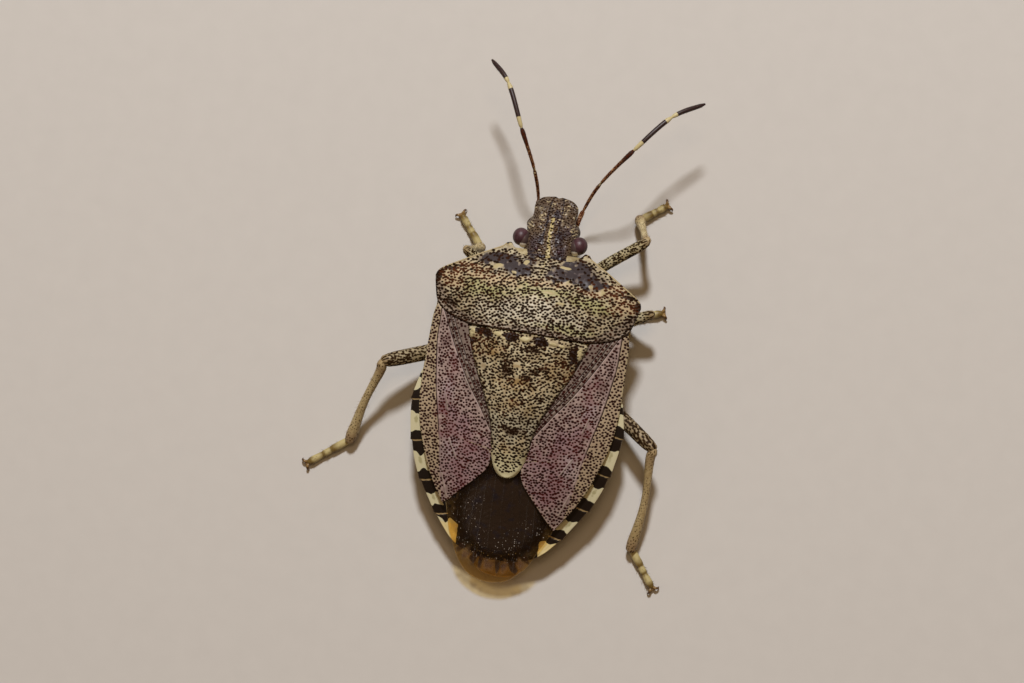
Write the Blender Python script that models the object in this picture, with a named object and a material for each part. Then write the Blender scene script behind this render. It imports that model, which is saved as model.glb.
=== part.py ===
"""A shield bug at life size, standing still: Blender builds it in metres, with +Z up and the head towards +Y."""

import math

import bmesh
import bpy
import numpy as np
from mathutils import Vector

# Every size below is in millimetres, and MM takes it to metres.
MM = 0.001

# Driving dimensions of the whole animal
BODY_TAIL = -7.68  # y of the wing membranes' tip
GAP = 0.25  # clearance between two pieces that touch in life
PLATE = 0.5  # thickness of a wing and of a body plate
PLATE_EDGE = 0.25  # thickness of a wing at its outer rim
COVER = PLATE + 0.1  # how far the body's own top lies below the back, without the gap
HEAD_LEAN = 0.12  # the head is held this far to the animal's right
SHARP_ANGLE = math.radians(40)

# The back: its height above the floor along the middle and along the side rim, and its half width, each at a y
BACK_MIDDLE = ((-7.7, 1.15), (-6.5, 1.95), (-5.0, 2.65), (-3.4, 3.35), (-1.0, 4.2), (0.5, 4.6),
               (2.4, 4.85), (3.4, 4.75), (4.5, 4.3), (5.5, 3.6), (6.2, 3.25))
BACK_RIM = ((-7.7, 1.05), (-6.0, 1.5), (-4.0, 1.95), (-2.0, 2.4), (0.0, 2.75), (2.5, 3.1), (4.2, 3.3), (6.2, 2.6))
BACK_HALF_WIDTH = ((-7.7, 0.9), (-7.0, 1.4), (-6.0, 2.15), (-5.0, 2.85), (-3.0, 3.95), (-1.0, 4.35),
                   (0.0, 4.2), (2.5, 4.0), (4.2, 4.15), (6.2, 2.4))
BACK_ROUNDNESS = 0.35  # 0 gives a straight roof, 1 a round barrel

# The pronotum, the shield behind the head: (x, y) along its front and its rear edge, from the middle outwards
PRONOTUM_FRONT = ((0.0, 5.46), (0.9, 5.5), (1.25, 5.7), (1.6, 5.98), (2.1, 5.68), (2.9, 5.17), (3.65, 4.7),
                  (4.05, 4.38), (4.14, 4.2))
PRONOTUM_REAR = ((0.0, 2.5), (0.9, 2.5), (1.5, 2.5), (2.1, 2.5), (2.6, 2.52), (3.2, 2.73), (3.7, 2.98),
                 (3.93, 3.28), (4.08, 3.95))
CALLUS_CENTRE = (1.25, 5.08)
CALLUS_SIZE = (1.1, 0.32)
CALLUS_RISE = 0.07

# The scutellum, the long triangle between the wings: (y, half width)
SCUTELLUM_HALF = ((-3.3, 0.14), (-3.24, 0.3), (-3.0, 0.5), (-2.5, 0.66), (-1.5, 0.84), (-1.0, 0.98),
                  (0.0, 1.43), (1.0, 1.93), (2.25, 2.38))
SCUTELLUM_BASE = 2.25
SCUTELLUM_TIP = -3.3
SCUTELLUM_RISE = 0.1
SPOT_X = (-2.1, -1.15, 0.0, 1.15, 2.1)  # five small knobs along its base
SPOT_Y = 2.05
SPOT_RISE = 0.05

# The wings: the leathery front part's outer edge as (y, x), its corners as (x, y), and the film behind it
WING_OUTER = ((-4.95, 2.25), (-4.2, 2.78), (-3.0, 3.38), (-1.0, 3.93), (0.0, 4.0), (2.5, 3.95), (2.82, 3.88))
WING_SHOULDER = 2.82
WING_TIP = (2.25, -4.95)
WING_INNER_ANGLE = (0.86, -2.95)
WING_VEINS = (1, 4)  # which lengthwise lines of its grid are raised
WING_FOLD = 7  # the line that is sunk, between the main part and the strip beside the scutellum
VEIN_RISE = 0.07
MEMBRANE_DROP = 0.1
MEMBRANE_VEINS = 6
SEAM_X = 0.8  # the left film lies over the right one as far as this line
SEAM_TOP = -3.4

# The body below the plates: half widths, belly heights at the middle and at the rim, and the joints between segments
ABDOMEN_HALF = ((-6.95, 0.5), (-6.8, 0.9), (-6.45, 1.56), (-6.0, 2.04), (-5.0, 2.82), (-4.0, 3.46), (-3.0, 3.9),
                (-1.0, 4.28), (0.5, 4.0))
ABDOMEN_JOINTS = (0.5, -0.9, -2.5, -4.0, -5.3, -6.4)
RIM_TOOTH = 0.09  # how far each rim plate's rear corner stands out
GROOVE = 0.06
THORAX_HALF = ((0.75, 3.25), (2.5, 3.3), (4.0, 3.35), (4.8, 2.6), (5.3, 1.7))
THORAX_JOINTS = (5.3, 3.4, 2.0, 0.75)
BELLY_Z = ((-6.95, 0.6), (-6.0, 0.7), (-4.0, 0.78), (-2.0, 1.0), (0.5, 1.32), (2.5, 1.42), (4.6, 1.55), (5.3, 1.8))
BELLY_RIM_Z = ((-6.95, 0.65), (-6.0, 0.8), (-5.0, 1.0), (-4.0, 1.22), (-2.0, 1.68), (-0.5, 2.0), (0.75, 2.1),
               (4.0, 2.2), (5.3, 2.15))
RIM_COVER = ((-6.95, 0.45), (-6.3, 0.35), (-5.2, 0.25), (0.5, 0.25))

# The head, its eyes and its beak: (y, size) along the head, and places as (x, y, z)
HEAD_REAR = 5.72
HEAD_HALF = ((5.72, 0.8), (6.05, 0.84), (6.5, 0.82), (6.75, 0.95), (6.9, 0.99), (7.1, 0.84), (7.35, 0.84),
             (7.7, 0.9), (7.92, 0.86), (8.06, 0.7), (8.12, 0.5))
HEAD_TOP = ((5.72, 3.35), (6.3, 3.25), (7.0, 2.9), (7.6, 2.55), (8.12, 2.2))
HEAD_BOTTOM = ((5.72, 2.05), (6.5, 1.85), (7.3, 1.8), (8.12, 1.95))
CHEEK_GROOVE = 0.3  # x of the two lines that part the middle lobe from the cheeks
EYE_CENTRE = (1.2, 6.3, 2.72)
EYE_RADIUS = 0.34
EYE_INNER_X = 1.03
BEAK_JOINTS = ((0.1, 7.5, 1.35), (0.08, 6.5, 1.2), (0.0, 4.8, 1.15), (0.0, 3.0, 0.95), (0.0, 1.6, 0.85))
BEAK_RADIUS = 0.25

# The feelers: the root, then the end of each of the five segments
FEELER_RADIUS = 0.26
FEELER_TIP_RADIUS = 0.12
FEELERS = {
    "antenna_left": ((-0.72, 7.2, 1.2), (-0.72, 7.95, 1.45), (-1.01, 9.03, 2.6), (-1.71, 10.48, 3.75),
                     (-2.54, 12.19, 3.65), (-3.41, 13.08, 3.1)),
    "antenna_right": ((0.98, 7.05, 1.2), (1.13, 7.85, 1.5), (1.71, 8.9, 2.6), (2.85, 10.32, 3.75),
                      (4.1, 11.88, 3.6), (5.32, 12.7, 3.1)),
}

# The legs: the hip, a point under the body's side, the knee, the ankle and the end of the foot
HIP_RADIUS = 0.36
FEMUR_RADIUS = 0.27
SHIN_RADIUS = 0.25
FOOT_RADIUS = 0.23
CLAW_LENGTH = 0.42
CLAW_SPREAD = math.radians(48)
LEGS = {
    "leg_front_left": ((-0.95, 4.2, 1.0), (-1.9, 4.75, 1.22), (-3.26, 5.44, 2.1), (-2.84, 5.69, 0.4),
                       (-3.8, 7.0, 0.2)),
    "leg_front_right": ((0.95, 4.3, 1.0), (2.2, 5.6, 1.4), (3.96, 6.93, 2.4), (3.42, 7.95, 0.4), (4.46, 8.7, 0.2)),
    "leg_middle_left": ((-1.0, 2.3, 0.9), (-3.5, 1.3, 1.2), (-5.86, 0.37, 2.35), (-6.78, -2.85, 0.4),
                        (-8.15, -4.08, 0.2)),
    "leg_middle_right": ((1.0, 2.3, 0.9), (2.9, 3.25, 1.2), (4.66, 4.08, 1.95), (3.2, 3.7, 0.4), (4.82, 4.26, 0.2)),
    "leg_hind_left": ((-1.0, 1.0, 0.8), (-2.1, -0.9, 0.6), (-3.1, -2.7, 0.6), (-1.75, -5.8, 0.3),
                      (-0.95, -6.7, 0.2)),
    "leg_hind_right": ((1.0, 1.0, 0.8), (3.2, -0.1, 0.95), (5.62, -1.28, 2.1), (5.3, -5.38, 0.4),
                       (6.36, -6.82, 0.2)),
}


def between(start, end, steps):
    return np.linspace(start, end, steps)


def bump(away):
    """A smooth bump: 1 at 0, and nothing from 1 on."""
    return np.clip(1 - np.asarray(away) ** 2, 0, 1) ** 2


def through(points):
    """A smooth curve through (place, value) points that never swings past them."""
    place, value = np.array(sorted(points), float).T
    rise = np.diff(value) / np.diff(place)
    slope = np.concatenate([rise[:1], np.zeros(len(rise) - 1), rise[-1:]])
    same_way = rise[:-1] * rise[1:] > 0
    total = np.where(same_way, rise[:-1] + rise[1:], 1)
    slope[1:-1] = np.where(same_way, 2 * rise[:-1] * rise[1:] / total, 0)

    def value_at(at):
        at = np.clip(at, place[0], place[-1])
        i = np.clip(np.searchsorted(place, at) - 1, 0, len(place) - 2)
        width = place[i + 1] - place[i]
        t = (at - place[i]) / width
        start = (1 + 2 * t) * (1 - t) ** 2 * value[i] + t * (1 - t) ** 2 * width * slope[i]
        return start + t * t * (3 - 2 * t) * value[i + 1] + t * t * (t - 1) * width * slope[i + 1]

    return value_at


def rail(corners):
    """A smooth edge through (x, y) corners, as functions x and y of a share from 0 to 1."""
    share = between(0, 1, len(corners))
    return [through(list(zip(share, values))) for values in zip(*corners)]


def path_through(points, steps):
    """A smooth path through points in space, with the given number of steps to each stretch."""
    points = np.asarray(points, float)
    padded = np.concatenate([[2 * points[0] - points[1]], points, [2 * points[-1] - points[-2]]])
    path = []
    for s in between(0, len(points) - 1, (len(points) - 1) * steps + 1):
        i = min(int(s), len(points) - 2)
        t = s - i
        p0, p1, p2, p3 = padded[i:i + 4]
        path.append(0.5 * (2 * p1 + (p2 - p0) * t + (2 * p0 - 5 * p1 + 4 * p2 - p3) * t * t
                           + (3 * p1 - p0 - 3 * p2 + p3) * t ** 3))
    return np.array(path)


back_middle = through(BACK_MIDDLE)
back_rim = through(BACK_RIM)
back_half_width = through(BACK_HALF_WIDTH)


def back(x, y):
    """Height of the animal's back at (x, y)."""
    across = np.abs(x) / back_half_width(y)
    full = math.hypot(1, BACK_ROUNDNESS) - BACK_ROUNDNESS
    fall = (np.hypot(across, BACK_ROUNDNESS) - BACK_ROUNDNESS) / full
    return back_middle(y) + (back_rim(y) - back_middle(y)) * fall


def lean(y):
    """How far the head end is shifted to the right at y."""
    t = np.clip((y - 3.5) / 2.5, 0, 1)
    return HEAD_LEAN * t * t * (3 - 2 * t)


def material(name, colour, roughness):
    made = bpy.data.materials.new(name)
    made.use_nodes = True
    shader = made.node_tree.nodes["Principled BSDF"]
    shader.inputs["Base Color"].default_value = (*colour, 1)
    shader.inputs["Roughness"].default_value = roughness
    shader.inputs["Metallic"].default_value = 0
    return made


def mesh_object(name, points, faces, finish=None):
    """An object from points in millimetres, with its faces turned outwards."""
    mesh = bpy.data.meshes.new(name)
    mesh.from_pydata([tuple(p) for p in np.asarray(points) * MM], [], faces)
    shape = bmesh.new()
    shape.from_mesh(mesh)
    bmesh.ops.recalc_face_normals(shape, faces=shape.faces)
    shape.to_mesh(mesh)
    shape.free()
    mesh.shade_smooth()
    mesh.set_sharp_from_angle(angle=SHARP_ANGLE)
    made = bpy.data.objects.new(name, mesh)
    bpy.context.scene.collection.objects.link(made)
    if finish:
        mesh.materials.append(finish)
    return made


def plate(x, y, top_z, bottom_z):
    """Points and faces of a closed plate over a grid of x and y, rows by columns."""
    x, y, top_z, bottom_z = np.broadcast_arrays(x, y, top_z, bottom_z)
    rows, columns = x.shape
    points = np.concatenate([np.stack([x, y, z], -1).reshape(-1, 3) for z in (top_z, bottom_z)])
    under = rows * columns
    faces = []
    for i in range(rows - 1):
        for j in range(columns - 1):
            a = i * columns + j
            faces.append((a, a + 1, a + columns + 1, a + columns))
            faces.append((under + a, under + a + columns, under + a + columns + 1, under + a + 1))
    border = list(range(columns))
    border += [i * columns + columns - 1 for i in range(1, rows)]
    border += [(rows - 1) * columns + j for j in range(columns - 2, -1, -1)]
    border += [i * columns for i in range(rows - 2, 0, -1)]
    for a, b in zip(border, border[1:] + border[:1]):
        faces.append((a, under + a, under + b, b))
    return points, faces


def tube(path, radii, sides):
    """Points and faces of a round limb along a path, with a radius at each point and rounded ends."""
    path = np.asarray(path, float)
    radii = np.asarray(radii, float)
    first = (path[0] - path[1]) / np.linalg.norm(path[0] - path[1])
    last = (path[-1] - path[-2]) / np.linalg.norm(path[-1] - path[-2])
    path = np.concatenate([[path[0] + first * radii[0] * 0.6], path, [path[-1] + last * radii[-1] * 0.6]])
    radii = np.concatenate([[radii[0] * 0.62], radii, [radii[-1] * 0.62]])
    along = np.gradient(path, axis=0)
    along /= np.linalg.norm(along, axis=1)[:, None]
    side = np.cross(along[0], (0.1, 0.3, 1))
    points = []
    for centre, way, radius in zip(path, along, radii):
        side = side - way * side.dot(way)
        side /= np.linalg.norm(side)
        up = np.cross(side, way)
        for k in range(sides):
            turn = 2 * math.pi * k / sides
            points.append(centre + radius * (math.cos(turn) * side + math.sin(turn) * up))
    points.append(path[0] + first * radii[0] * 0.35)
    points.append(path[-1] + last * radii[-1] * 0.35)
    rings = len(path)
    faces = []
    for i in range(rings - 1):
        for k in range(sides):
            a, b = i * sides + k, i * sides + (k + 1) % sides
            faces.append((a, b, b + sides, a + sides))
    start, end = rings * sides, rings * sides + 1
    for k in range(sides):
        a, b = k, (k + 1) % sides
        faces.append((start, b, a))
        faces.append((end, (rings - 1) * sides + a, (rings - 1) * sides + b))
    return np.array(points), faces


def largest_surface(mesh):
    """Leaves only the largest connected surface of a mesh."""
    shape = bmesh.new()
    shape.from_mesh(mesh)
    left = set(shape.verts)
    shells = []
    while left:
        shell = [left.pop()]
        for vertex in shell:
            near = {edge.other_vert(vertex) for edge in vertex.link_edges} & left
            left -= near
            shell.extend(near)
        shells.append(shell)
    largest = max(shells, key=len)
    extra = [vertex for shell in shells if shell is not largest for vertex in shell]
    bmesh.ops.delete(shape, geom=extra, context="VERTS")
    shape.to_mesh(mesh)
    shape.free()


def joined(name, pieces, finish):
    """One closed body made of overlapping closed pieces."""
    body = mesh_object(name, *pieces[0])
    helpers = bpy.data.collections.new(name + "_pieces")
    bpy.context.scene.collection.children.link(helpers)
    for number, piece in enumerate(pieces[1:]):
        made = mesh_object(f"{name}_piece_{number}", *piece)
        bpy.context.scene.collection.objects.unlink(made)
        helpers.objects.link(made)
    union = body.modifiers.new("union", "BOOLEAN")
    union.operation = "UNION"
    union.operand_type = "COLLECTION"
    union.collection = helpers
    bpy.context.view_layer.update()
    with bpy.context.temp_override(object=body, active_object=body):
        bpy.ops.object.modifier_apply(modifier=union.name)
    for made in list(helpers.objects):
        bpy.data.objects.remove(made)
    bpy.data.collections.remove(helpers)
    largest_surface(body.data)
    body.data.shade_smooth()
    body.data.set_sharp_from_angle(angle=SHARP_ANGLE)
    body.data.materials.append(finish)
    return body


def make_pronotum():
    """The shield behind the head, with its two smooth raised patches and a beaded side edge."""
    front_x, front_y = rail(PRONOTUM_FRONT)
    rear_x, rear_y = rail(PRONOTUM_REAR)
    across = between(-1, 1, 33)[None, :]
    along = between(0, 1, 12)[:, None]
    share = np.abs(across)
    y = front_y(share) + (rear_y(share) - front_y(share)) * along
    x = np.sign(across) * (front_x(share) + (rear_x(share) - front_x(share)) * along)
    away = np.hypot((np.abs(x) - CALLUS_CENTRE[0]) / CALLUS_SIZE[0], (y - CALLUS_CENTRE[1]) / CALLUS_SIZE[1])
    detail = CALLUS_RISE * bump(away) + 0.05 * share ** 12 - 0.04 * bump((y - 4.5) / 0.3) * (share < 0.8)
    top = back(x, y) + detail
    shell = material("pronotum shell", (0.33, 0.27, 0.17), 0.5)
    return mesh_object("pronotum", *plate(x + lean(y), y, top, back(x, y) - PLATE - 0.1 * (1 - share ** 4)), shell)


def make_scutellum():
    """The triangle between the wings, slightly above them, with five knobs along its base."""
    half = through(SCUTELLUM_HALF)
    knob_rows = (SCUTELLUM_BASE, SPOT_Y + 0.1, SPOT_Y, SPOT_Y - 0.15)
    y = np.concatenate([knob_rows, between(1.7, -2.8, 12), [-3.0, -3.15, -3.24, SCUTELLUM_TIP]])[:, None]
    across = between(-1, 1, 17)[None, :]
    x = half(y) * across
    away = np.min([np.hypot((x - spot) / 0.28, (y - SPOT_Y) / 0.2) for spot in SPOT_X], axis=0)
    top = back(x, y) + SCUTELLUM_RISE - 0.06 * np.abs(across) ** 6 + SPOT_RISE * bump(away)
    shell = material("scutellum shell", (0.36, 0.31, 0.2), 0.5)
    return mesh_object("scutellum", *plate(x, y, top, back(x, y) - PLATE), shell)


def make_corium(name, side):
    """The leathery front part of a wing, with raised veins and the fold beside the scutellum."""
    steps, corner = 19, 14
    slant_y = between(WING_INNER_ANGLE[1], WING_TIP[1], steps - corner + 1)[1:]
    slant_x = between(WING_INNER_ANGLE[0], WING_TIP[0] - 0.1, steps - corner + 1)[1:]
    straight_y = between(SCUTELLUM_BASE, WING_INNER_ANGLE[1], corner)
    inner_y = np.concatenate([straight_y, slant_y])[:, None]
    inner_x = np.concatenate([through(SCUTELLUM_HALF)(straight_y) + GAP, slant_x])[:, None]
    outer_y = (WING_SHOULDER + (WING_TIP[1] - WING_SHOULDER) * between(0, 1, steps) ** 0.95)[:, None]
    outer_x = through(WING_OUTER)(outer_y)
    across = np.array([0, 0.1, 0.17, 0.3, 0.44, 0.5, 0.64, 0.78, 0.86, 1])[None, :]
    x = outer_x + (inner_x - outer_x) * across
    y = outer_y + (inner_y - outer_y) * across
    line = np.arange(across.shape[1])
    veins = VEIN_RISE * np.isin(line, WING_VEINS) - GROOVE * (line == WING_FOLD)
    fade = np.clip((y - WING_TIP[1]) / 1.5, 0, 1)
    thick = PLATE - (PLATE - PLATE_EDGE) * (1 - across) ** 6
    grid = plate(side * x, y, back(x, y) + veins * fade, back(x, y) - thick)
    return mesh_object(name, *grid, material(name + " leather", (0.24, 0.17, 0.15), 0.5))


def behind_corium(share):
    """A point GAP behind the slanting rear edge of a wing's leathery part, from its inner to its outer corner."""
    start, end = np.array(WING_INNER_ANGLE), np.array(WING_TIP)
    way = (end - start) / np.linalg.norm(end - start)
    return tuple(start + (end - start) * share + np.array((way[1], -way[0])) * GAP)


def make_membrane(name, side, root, rim, veins):
    """The film of a wing, from its root behind the leathery part to its rim, with raised lengthwise veins."""
    root_x, root_y = rail(root)
    rim_x, rim_y = rail(rim)
    lines = 2 * veins + 1
    across = between(0, 1, lines)[None, :]
    along = between(0, 1, 10)[:, None]
    x = root_x(across) + (rim_x(across) - root_x(across)) * along
    y = root_y(across) + (rim_y(across) - root_y(across)) * along
    ridge = VEIN_RISE * (np.arange(lines) % 2 == 1) * (along > 0) * (along < 1)
    z = back(x, y) - MEMBRANE_DROP
    grid = plate(side * x, y, z + ridge, z - PLATE + (PLATE - PLATE_EDGE) * along ** 2)
    return mesh_object(name, *grid, material(name + " film", (0.04, 0.03, 0.02), 0.2))


def make_membranes():
    outer_corner = (WING_TIP[0] - 0.02, WING_TIP[1] - 0.35)
    side_edge = ((2.05, -5.6), (1.78, -6.25))
    root = (outer_corner, behind_corium(0.55), behind_corium(0.08), (0.0, SCUTELLUM_TIP - 0.3), (-SEAM_X, SEAM_TOP))
    rim = (*side_edge, (1.15, -7.3), (0.0, BODY_TAIL), (-SEAM_X, -7.48))
    upper = make_membrane("membrane_left", -1, root, rim, MEMBRANE_VEINS)
    root = ((SEAM_X + GAP, SEAM_TOP - 0.22), behind_corium(0.6), outer_corner)
    rim = ((SEAM_X + GAP, -7.3), *side_edge[::-1])
    return [upper, make_membrane("membrane_right", 1, root, rim, MEMBRANE_VEINS // 2)]


def joint_rows(joints, steps):
    """Rows along the body: a line at each joint with one close on either side, and even steps between."""
    rows = []
    for front, rear in zip(joints, joints[1:]):
        rows += [front, *between(front - 0.09, rear + 0.09, steps)]
    return np.array(rows + [joints[-1]])


def body_core(name, half_points, joints, steps, rim_cover, tooth, finish):
    """The body below its plates: a top that follows the back, and a belly grooved at each joint."""
    y = joint_rows(joints, steps)[:, None]
    across = np.sin(between(-1, 1, 17) * math.pi / 2)[None, :]
    joint_places = np.array(joints)
    nearest = np.min(np.abs(y - joint_places[None, :]), axis=1)[:, None]
    segment = np.clip(np.searchsorted(-joint_places, -y) - 1, 0, len(joints) - 2)
    behind = (joint_places[segment] - y) / (joint_places[segment] - joint_places[segment + 1])
    half = through(half_points)(y) + tooth * np.clip(behind, 0, 1) ** 3
    x = half * across
    inner_x = through(half_points)(y) * across
    groove = GROOVE * (nearest < 0.01) * (y < joints[0] - 0.01) * (y > joints[-1] + 0.01)
    cover = COVER + (rim_cover(y) - COVER) * np.abs(across) ** 8 + groove * np.abs(across) ** 8
    low = through(BELLY_Z)(y) + (through(BELLY_RIM_Z)(y) - through(BELLY_Z)(y)) * np.abs(across) ** 2.4
    low = low + groove * (1 - np.abs(across) ** 8)
    return mesh_object(name, *plate(x, y, back(inner_x, y) - cover - GAP, low), finish)


def make_abdomen():
    """The hind body, whose rim plates show beside the wings."""
    shell = material("abdomen shell", (0.45, 0.4, 0.27), 0.5)
    return body_core("abdomen", ABDOMEN_HALF, ABDOMEN_JOINTS + (-6.95,), 4, through(RIM_COVER), RIM_TOOTH, shell)


def make_thorax():
    """The body's middle, which carries the legs: three segments seen from below."""
    shell = material("thorax shell", (0.4, 0.34, 0.22), 0.5)
    even_cover = through(((THORAX_JOINTS[-1], COVER), (THORAX_JOINTS[0], COVER)))
    return body_core("thorax", THORAX_HALF, THORAX_JOINTS, 4, even_cover, 0, shell)


def make_head():
    """The flat head: a middle lobe between two cheeks, and a bump before each eye where the feelers root."""
    y = np.concatenate([between(HEAD_REAR, 6.5, 5), [6.75, 6.9, 7.0, 7.1, 7.35, 7.7, 7.92, 8.06, 8.12]])[:, None]
    across = np.array([-1, -0.95, -0.82, -0.62, -0.42, -0.34, -0.24, 0, 0.24, 0.34, 0.42, 0.62, 0.82, 0.95, 1])[None, :]
    x = through(HEAD_HALF)(y) * across
    top, bottom = through(HEAD_TOP)(y), through(HEAD_BOTTOM)(y)
    side_z = top * 0.45 + bottom * 0.55
    dome = np.sqrt(1 - across ** 2 * 0.94)
    groove = GROOVE * bump((np.abs(x) - CHEEK_GROOVE) / 0.08) * (y > 6.6)
    upper = side_z + (top - side_z) * dome - groove
    lower = side_z - 0.08 + (bottom - side_z + 0.08) * dome
    shell = material("head shell", (0.16, 0.13, 0.09), 0.5)
    return mesh_object("head", *plate(x + HEAD_LEAN, y, upper, lower), shell)


def make_eye(name, side):
    """A round eye, cut flat where it sits on the head."""
    shape = bmesh.new()
    bmesh.ops.create_uvsphere(shape, u_segments=14, v_segments=9, radius=EYE_RADIUS)
    for vertex in shape.verts:
        vertex.co.x = max(vertex.co.x * side, EYE_INNER_X - EYE_CENTRE[0]) * side
    points = np.array([vertex.co for vertex in shape.verts])
    faces = [[vertex.index for vertex in face.verts] for face in shape.faces]
    shape.free()
    centre = (side * EYE_CENTRE[0] + HEAD_LEAN, EYE_CENTRE[1], EYE_CENTRE[2])
    return mesh_object(name, points + centre, faces, material(name + " facets", (0.05, 0.02, 0.025), 0.2))


def segmented(joints, steps, waist):
    """A path through the joints, and a share of full thickness along it that is 1 within a segment, less at a joint."""
    path = path_through(joints, steps)
    within = np.arange(len(path)) % steps / steps
    share = np.where(within == 0, waist, 1)
    share[0] = share[-1] = 1
    return path, share


def make_beak():
    """The sucking beak in four segments, folded back under the body between the hips."""
    path, share = segmented(BEAK_JOINTS, 4, 0.82)
    taper = 1 - 0.35 * between(0, 1, len(path)) ** 6
    return mesh_object("beak", *tube(path, BEAK_RADIUS * share * taper, 8),
                       material("beak shell", (0.3, 0.22, 0.12), 0.4))


def make_feeler(name, joints):
    """A feeler in five segments, narrowed at each joint."""
    path, share = segmented(joints, 5, 0.8)
    thick = FEELER_RADIUS - (FEELER_RADIUS - FEELER_TIP_RADIUS) * between(0, 1, len(path)) ** 8
    return mesh_object(name, *tube(path, thick * share, 8), material(name + " shell", (0.1, 0.05, 0.03), 0.45))


def foot_pieces(ankle, toe):
    """The foot in three segments with a flat sole on the floor, and its two spread claws."""
    heel = np.array((ankle[0], ankle[1], FOOT_RADIUS * 0.8))
    length = np.linalg.norm(toe - heel)
    share = np.array((0, 0.2, 0.4, 0.46, 0.52, 0.6, 0.66, 0.72, 0.86, 1))
    thick = FOOT_RADIUS * np.array((0.9, 1, 1, 0.84, 0.9, 0.92, 0.82, 0.9, 1, 0.95))
    points, faces = tube(heel + (toe - heel) * share[:, None], thick, 10)
    points[:, 2] = np.maximum(points[:, 2], 0)
    pieces = [(points, faces)]
    for turn in (CLAW_SPREAD, -CLAW_SPREAD):
        ahead = (toe - heel)[:2] / length
        way = np.array((ahead[0] * math.cos(turn) - ahead[1] * math.sin(turn),
                        ahead[0] * math.sin(turn) + ahead[1] * math.cos(turn), 0))
        claw = [toe + way * CLAW_LENGTH * s + (0, 0, 0.06 - 0.16 * s * s) for s in (0.1, 0.45, 0.8)]
        pieces.append(tube(claw, (0.12, 0.1, 0.06), 6))
    return pieces


def make_leg(name, joints):
    """A leg: hip, thigh, shin, and a foot that stands flat on the floor."""
    hip, bend, knee, ankle, toe = np.array(joints)
    thigh = path_through((hip + (bend - hip) * 0.12, bend, knee), 4)
    swell = FEMUR_RADIUS * np.interp(between(0, 1, len(thigh)), (0, 0.15, 0.6, 0.9, 1), (0.8, 0.95, 1, 0.95, 0.85))
    shin = between(knee, ankle, 6)
    widen = SHIN_RADIUS * np.array((0.95, 1, 1, 1, 1.05, 1.15))
    pieces = [tube(thigh, swell, 10), tube((hip - (0, 0, 0.05), hip + (0, 0, 0.05)), (HIP_RADIUS, HIP_RADIUS), 10),
              tube(shin, widen, 10), *foot_pieces(ankle, toe)]
    return joined(name, pieces, material(name + " shell", (0.3, 0.24, 0.13), 0.5))


for old in list(bpy.data.objects):
    bpy.data.objects.remove(old)

parts = [make_pronotum(), make_scutellum(), make_thorax(), make_abdomen(), make_head(), make_beak()]
for side, word in ((-1, "left"), (1, "right")):
    parts += [make_corium("corium_" + word, side), make_eye("eye_" + word, side)]
parts += make_membranes()
parts += [make_feeler(name, joints) for name, joints in FEELERS.items()]
parts += [make_leg(name, joints) for name, joints in LEGS.items()]

# The origin lies on the floor under the middle of the whole animal, feelers and feet included.
corners = np.array([part.matrix_world @ Vector(corner) for part in parts for corner in part.bound_box])
middle = (corners.min(0) + corners.max(0)) / 2
root = bpy.data.objects.new("shield_bug", None)
bpy.context.scene.collection.objects.link(root)
for part in parts:
    part.parent = root
root.location = (-middle[0], -middle[1], 0)
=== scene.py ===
import math

import bmesh
import bpy
import numpy as np
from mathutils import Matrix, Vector


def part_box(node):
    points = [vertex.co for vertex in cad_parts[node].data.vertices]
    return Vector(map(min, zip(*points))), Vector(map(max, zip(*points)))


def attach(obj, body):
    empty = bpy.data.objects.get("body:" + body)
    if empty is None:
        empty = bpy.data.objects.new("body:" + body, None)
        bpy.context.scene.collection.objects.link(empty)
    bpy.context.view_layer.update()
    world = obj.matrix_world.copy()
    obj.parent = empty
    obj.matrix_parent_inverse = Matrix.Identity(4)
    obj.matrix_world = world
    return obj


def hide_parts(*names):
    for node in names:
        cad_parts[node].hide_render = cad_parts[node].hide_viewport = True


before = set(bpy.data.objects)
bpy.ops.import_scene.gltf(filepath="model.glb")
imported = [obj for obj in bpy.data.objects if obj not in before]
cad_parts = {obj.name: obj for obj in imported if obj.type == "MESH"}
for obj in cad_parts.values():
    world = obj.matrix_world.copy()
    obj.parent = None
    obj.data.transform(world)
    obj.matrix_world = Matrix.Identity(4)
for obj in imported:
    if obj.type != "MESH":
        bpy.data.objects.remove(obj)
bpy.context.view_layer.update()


# The stand: a flat board painted matt off-white, as in a museum case, under the animal's feet. It is so wide that its
# edge stays out of sight.
MM = 0.001  # one millimetre in metres
FLOOR_SIZE = 4000 * MM
FLOOR_PAINT = "#c3c0ba"


def linear(hex_colour):
    """An sRGB hex colour as linear red, green, blue and alpha."""
    channels = [int(hex_colour[i:i + 2], 16) / 255 for i in (1, 3, 5)]
    return (*[c / 12.92 if c <= 0.04045 else ((c + 0.055) / 1.055) ** 2.4 for c in channels], 1)


def add_node(tree, kind, links=None, out=0, **settings):
    """Adds a shader node with its settings and gives the named output. Each link names one of the node's inputs and
    gives it a plain value or another node's output."""
    made = tree.nodes.new("ShaderNode" + kind)
    for key, value in settings.items():
        setattr(made, key, value)
    for key, value in (links or {}).items():
        if isinstance(value, bpy.types.NodeSocket):
            tree.links.new(value, made.inputs[key])
        else:
            made.inputs[key].default_value = value
    return made.outputs[out] if made.outputs else None


def new_material(name):
    """An empty material, its nodes, and the place of each point of the surface in millimetres."""
    made = bpy.data.materials.new(name)
    made.use_nodes = True
    tree = made.node_tree
    tree.nodes.clear()
    at = add_node(tree, "TexCoord", out="Object")
    return made, tree, add_node(tree, "VectorMath", {0: at, "Scale": 1 / MM}, operation="SCALE")


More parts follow.
